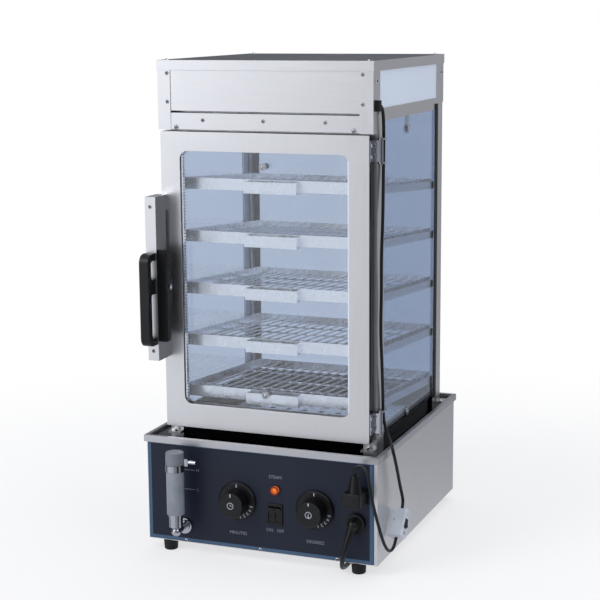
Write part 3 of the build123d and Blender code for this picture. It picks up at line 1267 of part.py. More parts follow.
# Squeeze lever: outside the channel, with a hub through it and an arm to the pad
LEVER_X0 = CHANNEL_X1 + GAP
LEVER_X1 = LEVER_X0 + LEVER_W
HOOK_X0 = CHANNEL_X0 + ANGLE_T + 2 * GAP
HOOK_X1 = HOOK_X0 + HOOK_T
HOOK_Z = LEVER_Z - HOOK_DROP
PAD_BACK = POST_FRONT - GAP
with BuildPart() as squeeze_lever:
    lever_y0 = CHANNEL_FRONT + LEVER_FRONT
    with BuildSketch(Plane.YZ.offset(LEVER_X0)):
        with BuildLine():
            Polyline(
                (lever_y0, LEVER_BOTTOM),
                (lever_y0, LEVER_TOP),
                (lever_y0 + LEVER_TIP_THICK, LEVER_TOP),
                (lever_y0 + LEVER_THICK, LEVER_TOP - LEVER_TOP_SLOPE),
                (lever_y0 + LEVER_THICK, LEVER_BOTTOM + LEVER_FOOT_SLOPE),
                (lever_y0 + LEVER_TIP_THICK, LEVER_BOTTOM),
                close=True,
            )
        make_face()
    extrude(amount=LEVER_W)
    fillet(squeeze_lever.faces().sort_by(Axis.X)[-1].edges(), LEVER_EDGE_R)
    for rise in LEVER_NOTCH_RISES:
        notch = (LEVER_X0 - CUT, lever_y0 + LEVER_THICK, LEVER_Z + rise)
        rod(notch, (1, 0, 0), LEVER_NOTCH_R, LEVER_W + 2 * CUT, Mode.SUBTRACT)
    rod((HOOK_X0, LEVER_Y, LEVER_Z), (1, 0, 0), LEVER_HUB_R, LEVER_X0 - HOOK_X0 + LEVER_W / 2)
    block(
        HOOK_X0, HOOK_X1, LEVER_Y - HOOK_W / 2, LEVER_Y + HOOK_W / 2,
        HOOK_Z - HOOK_W / 2, LEVER_Z,
    )
    block(
        HOOK_X0, HOOK_X1, LEVER_Y - HOOK_W / 2, PAD_BACK,
        HOOK_Z - HOOK_W / 2, HOOK_Z + HOOK_W / 2,
    )
    block(
        HOOK_X0 - HOOK_T / 2, HOOK_X1, PAD_BACK - ANGLE_T, PAD_BACK,
        HOOK_Z - HOOK_PAD_H / 2, HOOK_Z + HOOK_PAD_H / 2,
    )
    rod(
        (HOOK_X0 - CUT, LEVER_Y, LEVER_Z), (1, 0, 0), LEVER_PIN_R + RUN,
        LEVER_X1 - HOOK_X0 + 2 * CUT, Mode.SUBTRACT,
    )
keep(squeeze_lever, "squeeze_lever")

# Keeper: the magnet block on the left front post that the lever's pad meets
with BuildPart() as door_keeper:
    keeper_x1 = -POST_X - SEAT
    block(
        keeper_x1 - KEEPER_W, keeper_x1, POST_FRONT, POST_FRONT + KEEPER_LAP,
        HOOK_Z - KEEPER_H / 2, HOOK_Z + KEEPER_H / 2,
    )
    fillet(door_keeper.edges().filter_by(Axis.Z).group_by(Axis.X)[0], ANGLE_T)
keep(door_keeper, "door_keeper")

# Door fasteners: screws, the glass bolts and the lever's pin
with BuildPart() as door_fasteners:
    for place in HINGE_DOOR_SCREWS + CHANNEL_SCREWS:
        screw(*place)
    pane_bolt_l = PANE_YS[1] + GLASS_T - PANE_YS[0] + SEAT
    for bolt_z in DOOR_BOLT_ZS:
        glass_bolt((WINDOW_X, PANE_YS[0], bolt_z), (0, -1, 0), pane_bolt_l)
    pin_x1 = LEVER_X1 + GAP
    rod((CHANNEL_X0 - SEAT, LEVER_Y, LEVER_Z), (1, 0, 0), LEVER_PIN_R, pin_x1 - CHANNEL_X0)
    rod((CHANNEL_X0 - SEAT, LEVER_Y, LEVER_Z), (-1, 0, 0), LEVER_PIN_HEAD_R, LEVER_PIN_HEAD_T)
    rod((pin_x1, LEVER_Y, LEVER_Z), (1, 0, 0), LEVER_PIN_HEAD_R, LEVER_PIN_HEAD_T)
keep(door_fasteners, "door_fasteners")

# Head shell: two sides with windows, a back and two front stiles, folded in at its ends
SHELL_Z1 = CAP_UNDER - GAP
LIGHT_Y0 = HEAD_FRONT + LIGHT_FRONT_STILE
LIGHT_Y1 = HEAD_REAR - LIGHT_REAR_STILE
STILE_X = HEAD_HALF_W - HEAD_STILE
HEAD_SCREWS = [
    ((side * (STILE_X + HEAD_SCREW_IN), HEAD_FRONT, z), (0, -1, 0))
    for side in SIDES
    for z in (HEAD_SCREW_LOW, HEAD_SCREW_HIGH)
]
SIDE_SCREWS = [
    ((side * HEAD_HALF_W, y, SIDE_SCREW_Z), (side, 0, 0))
    for side in SIDES
    for y in (HEAD_FRONT + SIDE_SCREW_IN, HEAD_REAR - SIDE_SCREW_IN)
]
CAP_Y0 = HEAD_FRONT - SEAT - SHEET
CAP_Y1 = HEAD_REAR + SEAT + SHEET
CAP_HALF_W = HEAD_HALF_W + SEAT + SHEET
CAP_SCREWS = [
    ((side * (CAP_HALF_W - CAP_SCREW_IN), y, CAP_TOP), (0, 0, 1))
    for side in SIDES
    for y in (CAP_Y0 + CAP_SCREW_IN, CAP_Y1 - CAP_SCREW_IN)
]
GROMMET_Y = HEAD_FRONT + GROMMET_IN
with BuildPart() as head_shell:
    block(-HEAD_HALF_W, HEAD_HALF_W, HEAD_FRONT, HEAD_REAR, HEAD_FOOT, SHELL_Z1)
    block(
        SHEET - HEAD_HALF_W, HEAD_HALF_W - SHEET, HEAD_FRONT + SHEET, HEAD_REAR - SHEET,
        HEAD_Z + SHEET, SHELL_Z1 - SHEET, Mode.SUBTRACT,
    )
    block(
        SHEET - HEAD_HALF_W, HEAD_HALF_W - SHEET, HEAD_FRONT + SHEET, POST_FRONT - SEAT,
        HEAD_FOOT - CUT, HEAD_Z + 2 * SHEET, Mode.SUBTRACT,
    )
    block(
        -HEAD_HALF_W - CUT, HEAD_HALF_W + CUT, POST_FRONT - SEAT, HEAD_REAR + CUT,
        HEAD_FOOT - CUT, HEAD_Z, Mode.SUBTRACT,
    )
    fold_x = HEAD_HALF_W - HEAD_FOLD
    block(
        -fold_x, fold_x, POST_FRONT - SEAT - CUT, HEAD_REAR - HEAD_FOLD,
        HEAD_Z - CUT, HEAD_Z + SHEET + CUT, Mode.SUBTRACT,
    )
    block(
        -STILE_X, STILE_X, HEAD_FRONT - CUT, HEAD_REAR - HEAD_FOLD,
        SHELL_Z1 - SHEET - CUT, SHELL_Z1 + CUT, Mode.SUBTRACT,
    )
    block(
        -STILE_X, STILE_X, HEAD_FRONT - CUT, HEAD_FRONT + SHEET + CUT,
        HEAD_FOOT - CUT, SHELL_Z1 + CUT, Mode.SUBTRACT,
    )
    block(
        -HEAD_HALF_W - CUT, HEAD_HALF_W + CUT, LIGHT_Y0, LIGHT_Y1, LIGHT_Z0, LIGHT_Z1, Mode.SUBTRACT,
    )
    for place in HEAD_SCREWS + SIDE_SCREWS:
        bore(*place)
    for side in SIDES:
        for y in (CAP_Y0 + CAP_SCREW_IN, CAP_Y1 - CAP_SCREW_IN):
            bore((side * (CAP_HALF_W - CAP_SCREW_IN), y, SHELL_Z1), (0, 0, 1))
    bore((HEAD_HALF_W, GROMMET_Y, GROMMET_Z), (1, 0, 0), GROMMET_TAIL_R + GAP)
keep(head_shell, "head_shell")

# Light panels inside the head's side windows
with BuildPart() as light_panels:
    panel_x = HEAD_HALF_W - SHEET - SEAT
    for side in SIDES:
        block(
            *sorted((side * panel_x, side * (panel_x - ACRYLIC_T))),
            LIGHT_Y0 - LIGHT_LAP, LIGHT_Y1 + LIGHT_LAP, LIGHT_Z0 - LIGHT_LAP, LIGHT_Z1 + LIGHT_LAP,
        )
keep(light_panels, "light_panels")

# Cap
with BuildPart() as head_cap:
    block(-CAP_HALF_W, CAP_HALF_W, CAP_Y0, CAP_Y1, CAP_SKIRT, CAP_TOP)
    block(
        -HEAD_HALF_W - SEAT, HEAD_HALF_W + SEAT, HEAD_FRONT - SEAT, HEAD_REAR + SEAT,
        CAP_SKIRT - CUT, CAP_TOP - SHEET, Mode.SUBTRACT,
    )
    vent_y = HEAD_REAR - CAP_VENT_IN
    block(
        -CAP_VENT_L / 2, CAP_VENT_L / 2, vent_y - CAP_VENT_W / 2, vent_y + CAP_VENT_W / 2,
        CAP_TOP - SHEET - CUT, CAP_TOP + CUT, Mode.SUBTRACT,
    )
    for place in CAP_SCREWS:
        bore(*place)
keep(head_cap, "head_cap")

# Front fascia behind the stiles, and the drip strip under it
with BuildPart() as front_fascia:
    fascia_x = STILE_X + FASCIA_LAP
    fascia_y = HEAD_FRONT + SHEET + SEAT
    block(-fascia_x, fascia_x, fascia_y, fascia_y + SHEET, FASCIA_FOOT, SHELL_Z1 - SHEET - GAP)
    block(
        -STILE_X, STILE_X, fascia_y, fascia_y + FASCIA_LAP, FASCIA_FOOT, FASCIA_FOOT + SHEET,
    )
    for place in HEAD_SCREWS:
        bore(*place)
keep(front_fascia, "front_fascia")

STRIP_Y = HEAD_FRONT + STRIP_RECESS
STRIP_SCREWS = [
    ((x, STRIP_Y, z), (0, -1, 0))
    for x, z in (
        (-STRIP_SCREW_X, STRIP_SCREW_Z),
        (0, STRIP_SCREW_Z),
        (STRIP_SCREW_X, STRIP_SCREW_Z),
    )
]
STRIP_BOLTS = [((side * STRIP_BOLT_X, STRIP_Y, STRIP_BOLT_Z), (0, -1, 0)) for side in SIDES]
with BuildPart() as drip_strip:
    strip_x = STILE_X - GAP
    block(-strip_x, strip_x, STRIP_Y, STRIP_Y + SHEET, STRIP_BOTTOM, STRIP_TOP)
    block(-strip_x, strip_x, STRIP_Y, POST_FRONT - SEAT, STRIP_TOP - SHEET, STRIP_TOP)
    for place in STRIP_SCREWS + STRIP_BOLTS:
        bore(*place)
keep(drip_strip, "drip_strip")

# Ceiling panel on the head's inner folds
with BuildPart() as ceiling_panel:
    ceiling_z = HEAD_Z + SHEET + SEAT
    ceiling_x = HEAD_HALF_W - SHEET - 2 * GAP
    block(-ceiling_x, ceiling_x, POST_FRONT, HEAD_REAR - SHEET - 2 * GAP, ceiling_z, ceiling_z + SHEET)
keep(ceiling_panel, "ceiling_panel")

# Lamp tube between two holders on the head's back
with BuildPart() as head_lamp:
    tube_y = HEAD_REAR - SHEET - TUBE_FROM_REAR
    rod((-TUBE_HALF_L, tube_y, TUBE_Z), (1, 0, 0), TUBE_R, 2 * TUBE_HALF_L)
    for side in SIDES:
        block(
            *sorted((side * TUBE_HALF_L, side * (TUBE_HALF_L + HOLDER_W))),
            tube_y - HOLDER_H / 2, HEAD_REAR - SHEET - SEAT,
            TUBE_Z - HOLDER_H / 2, TUBE_Z + HOLDER_H / 2,
        )
keep(head_lamp, "head_lamp")

# Grommet where the lamp's cord leaves the head
with BuildPart() as cable_grommet:
    grommet_x = HEAD_HALF_W + SEAT
    block(
        grommet_x, grommet_x + GROMMET_OUT, GROMMET_Y - GROMMET_W / 2, GROMMET_Y + GROMMET_W / 2,
        GROMMET_Z - GROMMET_H / 2, GROMMET_Z + GROMMET_H / 2,
    )
    fillet(cable_grommet.faces().sort_by(Axis.X)[-1].edges(), GROMMET_EDGE_R)
    rod((grommet_x, GROMMET_Y, GROMMET_Z), (-1, 0, 0), GROMMET_TAIL_R, GROMMET_TAIL_L)
keep(cable_grommet, "cable_grommet")

# All the screws of the standing body
with BuildPart() as dome_screws:
    for place in (
        FOOT_SCREWS + PANEL_SCREWS + BRACKET_SCREWS
        + HEAD_SCREWS + SIDE_SCREWS + STRIP_SCREWS + CAP_SCREWS
    ):
        screw(*place)
    for place in STRIP_BOLTS:
        screw(*place, head_r=STRIP_BOLT_R, head_h=STRIP_BOLT_H)
    for place in HINGE_POST_SCREWS:
        screw(*place, HINGE_LEAF_T + SEAT + ANGLE_T)
keep(dome_screws, "dome_screws")
keep(corner_posts, "corner_posts")


def corner_radii(points):
    """For each corner of a route, an arc as large as its two runs allow."""
    radii = []
    for before, corner, after in zip(points, points[1:], points[2:]):
        back = Vector(*corner) - Vector(*before)
        ahead = Vector(*after) - Vector(*corner)
        half_turn = radians(back.get_angle(ahead)) / 2
        radii.append(RUN_SHARE * min(back.length, ahead.length) / tan(half_turn))
    return radii


def cord_path(points):
    """The centre line of a cord: straight runs joined by tangent arcs."""
    return FilletPolyline(*points, radius=corner_radii(points))


def report(name, points, diameter, made, path_length):
    """Print a cord's radii in diameters, and its volume against its section times its length."""
    radii = [round(radius / diameter, 1) for radius in corner_radii(points)]
    runs = [round((Vector(*b) - Vector(*a)).length) for a, b in zip(points, points[1:])]
    ratio = made.part.volume / (path_length * pi * diameter**2 / 4)
    print(f"{name}: length {path_length:.0f}, radii {radii}, runs {runs}, volume ratio {ratio:.4f}")


# In-line switch on the lamp's cord
lean = radians(INLINE_TILT)
turn = radians(INLINE_TURN)
INLINE = Plane(
    origin=(INLINE_X, CENTRE_Y + INLINE_Y, INLINE_Z),
    x_dir=(0, sin(lean), cos(lean)),
    z_dir=(cos(turn), -cos(lean) * sin(turn), sin(lean) * sin(turn)),
)
with BuildPart() as switch_body:
    with BuildSketch(INLINE.offset(-INLINE_T / 2)):
        RectangleRounded(INLINE_L, INLINE_W, INLINE_CORNER_R)
    extrude(amount=INLINE_T)
    ends = switch_body.faces().sort_by(Axis(INLINE.origin, INLINE.z_dir))
    fillet(ends[0].edges() + ends[-1].edges(), INLINE_EDGE_R)
    with BuildSketch(INLINE.offset(INLINE_T / 2 - INLINE_POCKET_D)):
        Rectangle(INLINE_POCKET_L, INLINE_POCKET_W)
    extrude(amount=INLINE_POCKET_D + CUT, mode=Mode.SUBTRACT)
    screw_place = INLINE.from_local_coords((INLINE_SCREW_RISE, INLINE_W / 2 + CUT, INLINE_SCREW_IN - INLINE_T / 2))
    rod(tuple(screw_place), tuple(-INLINE.y_dir), INLINE_SCREW_R, 2 * CUT, Mode.SUBTRACT)
keep(switch_body, "switch_body")

swing = radians(INLINE_SWING)
INLINE_REST = Plane(
    origin=INLINE.origin + INLINE.z_dir * (INLINE_T / 2 - INLINE_PIVOT_IN),
    x_dir=INLINE.x_dir * cos(swing) - INLINE.z_dir * sin(swing),
    z_dir=INLINE.z_dir * cos(swing) + INLINE.x_dir * sin(swing),
)
with BuildPart() as switch_rocker:
    rocker_z1 = INLINE_PIVOT_IN + INLINE_ROCKER_OUT
    rocker_half_w = INLINE_POCKET_W / 2 - GAP
    with BuildSketch(INLINE_REST.offset(rocker_z1 - INLINE_ROCKER_T)):
        Rectangle(INLINE_ROCKER_L, 2 * rocker_half_w)
    extrude(amount=INLINE_ROCKER_T)
keep(switch_rocker, "switch_rocker")

# Lamp plug: a right-angle body on the socket, with a boot that rises to the cord
LAMP_PLUG_FRONT = BASE_FRONT - SEAT - SOCKET_FLANGE_T
with BuildPart() as lamp_plug:
    block(
        SOCKET_X - LAMP_PLUG_W / 2, SOCKET_X + LAMP_PLUG_W / 2,
        LAMP_PLUG_FRONT - LAMP_PLUG_D, LAMP_PLUG_FRONT - SEAT,
        SOCKET_Z - LAMP_PLUG_H / 2, SOCKET_Z + LAMP_PLUG_H / 2,
    )
    fillet(lamp_plug.edges().filter_by(Axis.Y), LAMP_PLUG_EDGE_R)
    fillet(lamp_plug.faces().sort_by(Axis.Y)[0].edges(), LAMP_PLUG_EDGE_R / 2)
    boot_y = LAMP_PLUG_FRONT - LAMP_PLUG_D + LAMP_BOOT_IN
    taper((BOOT_X, boot_y, SOCKET_Z), (0, 0, 1), BOOT_FOOT_R, BOOT_TOP_R, BOOT_TOP - SOCKET_Z)
keep(lamp_plug, "lamp_plug")


def tube(route, diameter):
    """Sweep a round section along a route that is a list of points, in the part being made."""
    start = Vector(*route[0])
    with BuildLine() as line:
        cord_path(route)
    with BuildSketch(Plane(origin=start, z_dir=Vector(*route[1]) - start)) as section:
        Circle(diameter / 2)
    sweep(section.sketch, path=line.wires()[0])
    return line.wires()[0].length


def placed(points):
    """Points given from the base's middle, moved to the origin's frame."""
    return [(x, CENTRE_Y + y, z) for x, y, z in points]


# Lamp cord: out of the grommet, down behind the hinges, over the rim and into the switch;
# then out of the switch, round and up, and over into the plug's boot
LAMP_CORD_UPPER = placed([
    (218.6, -195.0, 867.0), (218.6, -186.0, 867.0), (219.0, -177.5, 858.0), (219.6, -174.0, 839.0),
    (218.6, -170.0, 806.0), (217.0, -166.4, 766.0), (218.4, -172.0, 713.0), (220.5, -180.5, 656.0),
    (219.0, -184.0, 592.0), (218.0, -179.5, 524.0), (217.6, -183.5, 454.0), (218.8, -178.0, 386.0),
    (217.4, -168.5, 328.0), (217.4, -166.6, 284.0), (222.5, -168.5, 264.0), (230.5, -175.5, 251.5),
    (238.0, -186.5, 244.5), (244.5, -196.5, 237.5), (248.8, -199.5, 226.0), (250.4, -192.5, 208.0),
    (251.2, -180.5, 182.0), (251.8, -168.0, 153.0), (254.0, -160.0, 131.0),
])
for along_switch in (INLINE_L / 2 + CORD_LEAD, INLINE_L / 2):
    LAMP_CORD_UPPER.append(tuple(INLINE.from_local_coords((along_switch, 0, 0))))
LAMP_CORD_LOWER = [
    tuple(INLINE.from_local_coords((-along_switch, 0, 0)))
    for along_switch in (INLINE_L / 2, INLINE_L / 2 + CORD_LEAD)
]
LAMP_CORD_LOWER += placed([
    (255.4, -224.0, 46.5), (254.4, -238.0, 47.5), (253.0, -251.0, 56.0), (251.0, -262.5, 71.0),
    (249.0, -272.5, 90.0), (246.5, -282.0, 113.0), (243.5, -291.0, 138.0), (240.5, -297.5, 161.0),
    (237.5, -300.5, 182.0), (234.5, -300.0, 199.0), (230.5, -297.0, 213.5), (222.5, -292.0, 221.5),
    (211.5, -287.5, 221.5),
])
BOOT_Y = LAMP_PLUG_FRONT - LAMP_PLUG_D + LAMP_BOOT_IN
LAMP_CORD_LOWER += [(BOOT_X, BOOT_Y, BOOT_TOP + 2 * LAMP_CORD_D), (BOOT_X, BOOT_Y, BOOT_TOP)]
with BuildPart() as lamp_cord_upper:
    upper_l = tube(LAMP_CORD_UPPER, LAMP_CORD_D)
keep(lamp_cord_upper, "lamp_cord_upper")
report("lamp_cord_upper", LAMP_CORD_UPPER, LAMP_CORD_D, lamp_cord_upper, upper_l)
with BuildPart() as lamp_cord_lower:
    lower_l = tube(LAMP_CORD_LOWER, LAMP_CORD_D)
keep(lamp_cord_lower, "lamp_cord_lower")
report("lamp_cord_lower", LAMP_CORD_LOWER, LAMP_CORD_D, lamp_cord_lower, lower_l)

# Mains cord: down out of the gland's boot to the floor and back under the base
CORD_Z = MAINS_CORD_D / 2 + FLOOR_GAP
COIL_Y = CENTRE_Y + RIM_HALF_D + COIL_BEHIND
COIL_X0 = COIL_X + COIL_R
COIL_START = (COIL_X0, COIL_Y - MAINS_CORD_D, CORD_Z)
MAINS_CORD = [gland_tip, along(gland_tip, GLAND_BOOT_DIR, MAINS_LEAD)]
MAINS_CORD += placed([
    (178.2, -285.5, 39.5), (174.5, -277.0, 25.5), (170.5, -265.0, 15.0), (167.5, -247.0, 8.5),
    (165.0, -223.0, CORD_Z), (162.5, -193.0, CORD_Z), (161.0, -149.0, CORD_Z), (163.5, -93.0, CORD_Z),
    (167.0, -8.0, CORD_Z), (160.0, 78.0, CORD_Z), (149.0, 152.0, CORD_Z),
    (140.0, 216.0, CORD_Z), (133.0, 268.0, CORD_Z),
])
MAINS_CORD += [(COIL_X0, COIL_START[1] - 3 * MAINS_CORD_D, CORD_Z), COIL_START]
with BuildPart() as mains_cord:
    mains_l = tube(MAINS_CORD, MAINS_CORD_D)
keep(mains_cord, "mains_cord")
report("mains_cord", MAINS_CORD, MAINS_CORD_D, mains_cord, mains_l)


def coil_knot(turns):
    """Place and direction of the coil's centre line after some turns."""
    angle = 2 * pi * turns
    outward = turns > COIL_REVERSE_TURN
    inner_r = COIL_R - COIL_TURN_STEP * COIL_REVERSE_TURN
    radius = inner_r + COIL_TURN_STEP * abs(turns - COIL_REVERSE_TURN)
    climbed = min(max(2 * (turns - COIL_REVERSE_TURN) + HALF_SHARE, 0), 1)
    radial = 0 if turns in (0, COIL_REVERSE_TURN, COIL_TURNS) else COIL_TURN_STEP / (2 * pi)
    if not outward:
        radial = -radial
    rise = 4 * COIL_LAYER_STEP / (2 * pi) if turns == COIL_REVERSE_TURN else 0
    place = Vector(
        COIL_X + radius * cos(angle), COIL_Y + radius * sin(angle), CORD_Z + COIL_LAYER_STEP * climbed
    )
    direction = Vector(
        radial * cos(angle) - radius * sin(angle), radial * sin(angle) + radius * cos(angle), rise
    )
    return place, direction.normalized()


def biarc(start, start_dir, end, end_dir):
    """Two arcs that leave one point and reach another along given directions."""
    chord = end - start
    both = start_dir + end_dir
    square = 2 * (1 - start_dir.dot(end_dir))
    across = chord.dot(both)
    reach = (sqrt(across**2 + square * chord.dot(chord)) - across) / square
    middle = (start + start_dir * reach + end - end_dir * reach) / 2
    half_chord = middle - start
    middle_dir = half_chord * (2 * half_chord.dot(start_dir) / half_chord.dot(half_chord)) - start_dir
    TangentArc(start, middle, tangent=start_dir)
    TangentArc(middle, end, tangent=middle_dir)


# Coil of the cord that the photograph doesn't reach: two layers of turns behind the cabinet
with BuildPart() as mains_coil:
    steps = round(4 * COIL_TURNS)
    knots = [coil_knot(step / 4) for step in range(steps + 1)]
    with BuildLine() as coil_line:
        Line(Vector(*COIL_START), knots[0][0])
        for (start, start_dir), (end, end_dir) in zip(knots, knots[1:]):
            biarc(start, start_dir, end, end_dir)
        coil_end = knots[-1][0] + knots[-1][1] * COIL_TAIL
        Line(knots[-1][0], coil_end)
    with BuildSketch(Plane(origin=Vector(*COIL_START), z_dir=(0, 1, 0))):
        Circle(MAINS_CORD_D / 2)
    sweep(path=coil_line.wires()[0])
keep(mains_coil, "mains_coil")

coil_wire = coil_line.wires()[0]
SAMPLES = 600
samples = [coil_wire.position_at(step / SAMPLES) for step in range(SAMPLES + 1)]
apart = round(SAMPLES * 2 * COIL_R / coil_wire.length)
least = min(
    (samples[i] - samples[j]).length
    for i in range(SAMPLES + 1)
    for j in range(i + apart, SAMPLES + 1)
)
section_volume = coil_wire.length * pi * MAINS_CORD_D**2 / 4
print(f"mains_coil: length {coil_wire.length:.0f}, least gap to itself {least - MAINS_CORD_D:.2f}")
print(f"mains_coil: volume ratio {mains_coil.part.volume / section_volume:.4f}")

# Mains plug, lying beside the coil
with BuildPart() as mains_plug:
    plug_x1 = coil_end.X - PLUG_BOOT_L
    plug_x0 = plug_x1 - PLUG_L
    plug_z1 = 2 * coil_end.Z - FLOOR_GAP
    block(plug_x0, plug_x1, coil_end.Y - PLUG_W / 2, coil_end.Y + PLUG_W / 2, FLOOR_GAP, plug_z1)
    fillet(mains_plug.edges().filter_by(Axis.X), PLUG_EDGE_R)
    taper(tuple(coil_end), (-1, 0, 0), PLUG_BOOT_TIP_R, PLUG_BOOT_R, PLUG_BOOT_L)
    for side in SIDES:
        pin = (plug_x0, coil_end.Y + side * PLUG_PIN_PITCH / 2, coil_end.Z)
        rod(pin, (-1, 0, 0), PLUG_PIN_R, PLUG_PIN_L)
keep(mains_plug, "mains_plug")
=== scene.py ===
from math import cos, pi, radians, sin

import bmesh
import bpy
from bpy.props import FloatProperty, FloatVectorProperty, IntProperty, PointerProperty
from mathutils import Matrix, Vector


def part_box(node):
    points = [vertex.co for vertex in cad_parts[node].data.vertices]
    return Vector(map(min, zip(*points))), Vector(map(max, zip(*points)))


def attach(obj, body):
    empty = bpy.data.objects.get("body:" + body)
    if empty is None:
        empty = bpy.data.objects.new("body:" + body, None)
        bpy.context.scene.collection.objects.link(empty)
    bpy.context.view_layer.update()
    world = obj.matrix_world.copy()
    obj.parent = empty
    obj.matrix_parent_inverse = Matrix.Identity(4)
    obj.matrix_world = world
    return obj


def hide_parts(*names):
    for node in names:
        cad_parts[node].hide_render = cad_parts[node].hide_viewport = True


bl_info = {
    "name": "Bun steamer cabinet",
    "version": (1, 0, 0),
    "blender": (4, 5, 0),
    "location": "View3D > Sidebar > Steamer",
    "description": "Finishes, cords and markings for a bun steamer cabinet",
    "category": "Object",
}

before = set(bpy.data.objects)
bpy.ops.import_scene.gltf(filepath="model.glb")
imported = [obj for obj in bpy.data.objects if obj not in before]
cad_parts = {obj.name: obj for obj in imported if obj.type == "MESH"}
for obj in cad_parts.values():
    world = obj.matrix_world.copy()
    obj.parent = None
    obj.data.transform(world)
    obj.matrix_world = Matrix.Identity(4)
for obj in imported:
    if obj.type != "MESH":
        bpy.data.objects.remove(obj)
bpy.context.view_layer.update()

MM = 0.001
LIFT = 0.1 * MM          # flat marks stand this far off what carries them
MARK_T = 0.15 * MM       # printed ink, thick enough to be a solid
WELD_GAP = MM / 1000     # points of a CAD node nearer than this are one
FACING = 0.9             # a face looks along an axis if its normal reaches this far along it


def linear(hex_colour):
    """Turn an sRGB hex colour into linear red, green and blue."""
    values = [int(hex_colour[i:i + 2], 16) / 255 for i in (1, 3, 5)]
    return tuple(v / 12.92 if v <= 0.04045 else ((v + 0.055) / 1.055) ** 2.4 for v in values)


def colour_property(name, description, hex_colour):
    """A colour that the user can change."""
    return FloatVectorProperty(
        name=name, description=description, subtype="COLOR", min=0, max=1, default=linear(hex_colour),
    )


def length_property(name, description, millimetres):
    """A length that the user can change."""
    return FloatProperty(
        name=name, description=description, unit="LENGTH", min=0, default=millimetres * MM,
    )


class SteamerColours(bpy.types.PropertyGroup):
    """Colours of the finishes."""

    stainless: colour_property("Stainless", "Brushed 304 sheet of the body", "#d6d5d6")
    # Painted reflection: near-black steel that stands in for the dark surroundings mirrored by the tray's
    # deck, the sill and the door's side
    painted_dark_reflection: colour_property("Painted dark reflection", "Steel drawn as dark as it looks", "#141517")
    # Darker than the body's stainless, with the same roughness
    tray_darker_stainless: colour_property("Darker tray", "Duller stainless of the tray", "#bdbdc0")
    # The cap's top is stainless like the rest; its dark blue-grey is a painted reflection of what lies
    # above and behind it
    cap_painted_dark_reflection: colour_property("Cap painted reflection", "Top of the cap, dark as under a blue-grey film", "#353b47")
    # Polished steel with painted light: the lower roughness is the real polish, and the lighter, bluer
    # colour stands in for bright reflections inside the cabinet
    bright_stainless_painted_light: colour_property("Bright stainless with painted light", "Polished strips of the racks", "#f0f4fb")
    chrome: colour_property("Chrome", "Plated hinges, screws and fittings", "#b4b6bc")
    panel: colour_property("Panel", "Navy lacquer of the control panel", "#1b2130")
    panel_border: colour_property("Panel border", "Steel-blue printed frame of the panel", "#3d5a78")
    ink: colour_property("Ink", "Pale numbers of the dials", "#c9ced6")
    dim_ink: colour_property("Dim ink", "Grey captions of the panel", "#7f8590")
    black_plastic: colour_property("Black plastic", "Moulded phenolic and ABS", "#08080a")
    rubber: colour_property("Rubber", "Feet, gasket and seals", "#141415")
    cord: colour_property("Cord", "PVC sheath", "#0d0d0e")
    white_plastic: colour_property("White plastic", "ABS of the in-line switch", "#ccd2dc")
    grey_plastic: colour_property("Grey plastic", "Cap of the water gauge", "#757b84")
    tube: colour_property("Gauge tube", "Scale-clouded wall of the water gauge", "#848a94")
    acrylic: colour_property("Acrylic", "Frosted light panels", "#d3deee")
    # Partly the glass's own slight tint, and partly painted reflection that makes the panes bluer
    glass: colour_property("Glass", "Tint of the side and rear panes", "#b0bed4")
    door_glass: colour_property("Door glass", "Tint of the door's panes", "#f4f6f9")
    glass_edge: colour_property("Glass edge", "Green of a pane's ground edge", "#16302c")
    amber: colour_property("Amber", "Lens of the pilot lamp", "#e8701c")
    bezel: colour_property("Bezel", "Dark red ring of the pilot lamp", "#7a1c12")


class SteamerSizes(bpy.types.PropertyGroup):
    """Sizes of what the frame doesn't hold."""

    border_w: length_property("Border width", "Printed frame round the panel", 6.5)
    border_inset: length_property("Border inset", "Bare edge outside the printed frame", 0.6)
    caption_h: length_property("Caption height", "Letters under the controls", 6.2)
    numeral_h: length_property("Numeral height", "Numbers on the dials", 6.0)
    level_line: length_property("Level line", "Length of a mark beside the gauge", 22.0)
    edge_round: length_property("Edge rounding", "Broken edge of folded sheet", 0.35)
    dial_numerals: IntProperty(name="Numerals", description="Numbers on a dial", min=2, max=12, default=5)


def colours():
    """The colours in use."""
    return bpy.context.scene.steamer_colours


def sizes():
    """The sizes in use."""
    return bpy.context.scene.steamer_sizes


# Materials

GRAIN_W = 1.1 * MM           # a real scratch is about 0.1 mm wide, too fine to show
GRAIN_L = 90 * MM
SMUDGES_A_METRE = 14.0       # a hand's smudge is about 70 mm across
WIPES_A_METRE = (60.0, 60.0, 25.0)       # a cloth's marks, about 17 mm wide and 40 mm high
CLOUDS_A_METRE = 30.0        # uneven gloss of a moulding, about 33 mm across
OPAL_CLOUDS_A_METRE = 6.0    # uneven scatter of cast sheet, about 170 mm across
ENAMEL_CLOUDS_A_METRE = 7.0  # uneven cover of a coat, about 140 mm across
PEEL_A_METRE = 350.0         # orange peel, about 3 mm
INK_GRAINS_A_METRE = 900.0   # a real screen's mesh is about 0.1 mm, too fine to show
FLUTES_A_METRE = 700.0       # a lens's flutes are about 1.4 mm apart; drawn as noise of that size
BUMP_DEPTH = 0.05 * MM
BROKEN_EDGE_ANGLE = radians(50)          # a sharper fold gets its edge broken
PANE_SHADOW = 0.12           # share of the lamps' light that a pane holds back
OPAL_GLOW = 0.12
LENS_GLOW = 0.35
NOISE_LOW = 0.3              # most of a noise lies between these two
NOISE_HIGH = 0.7


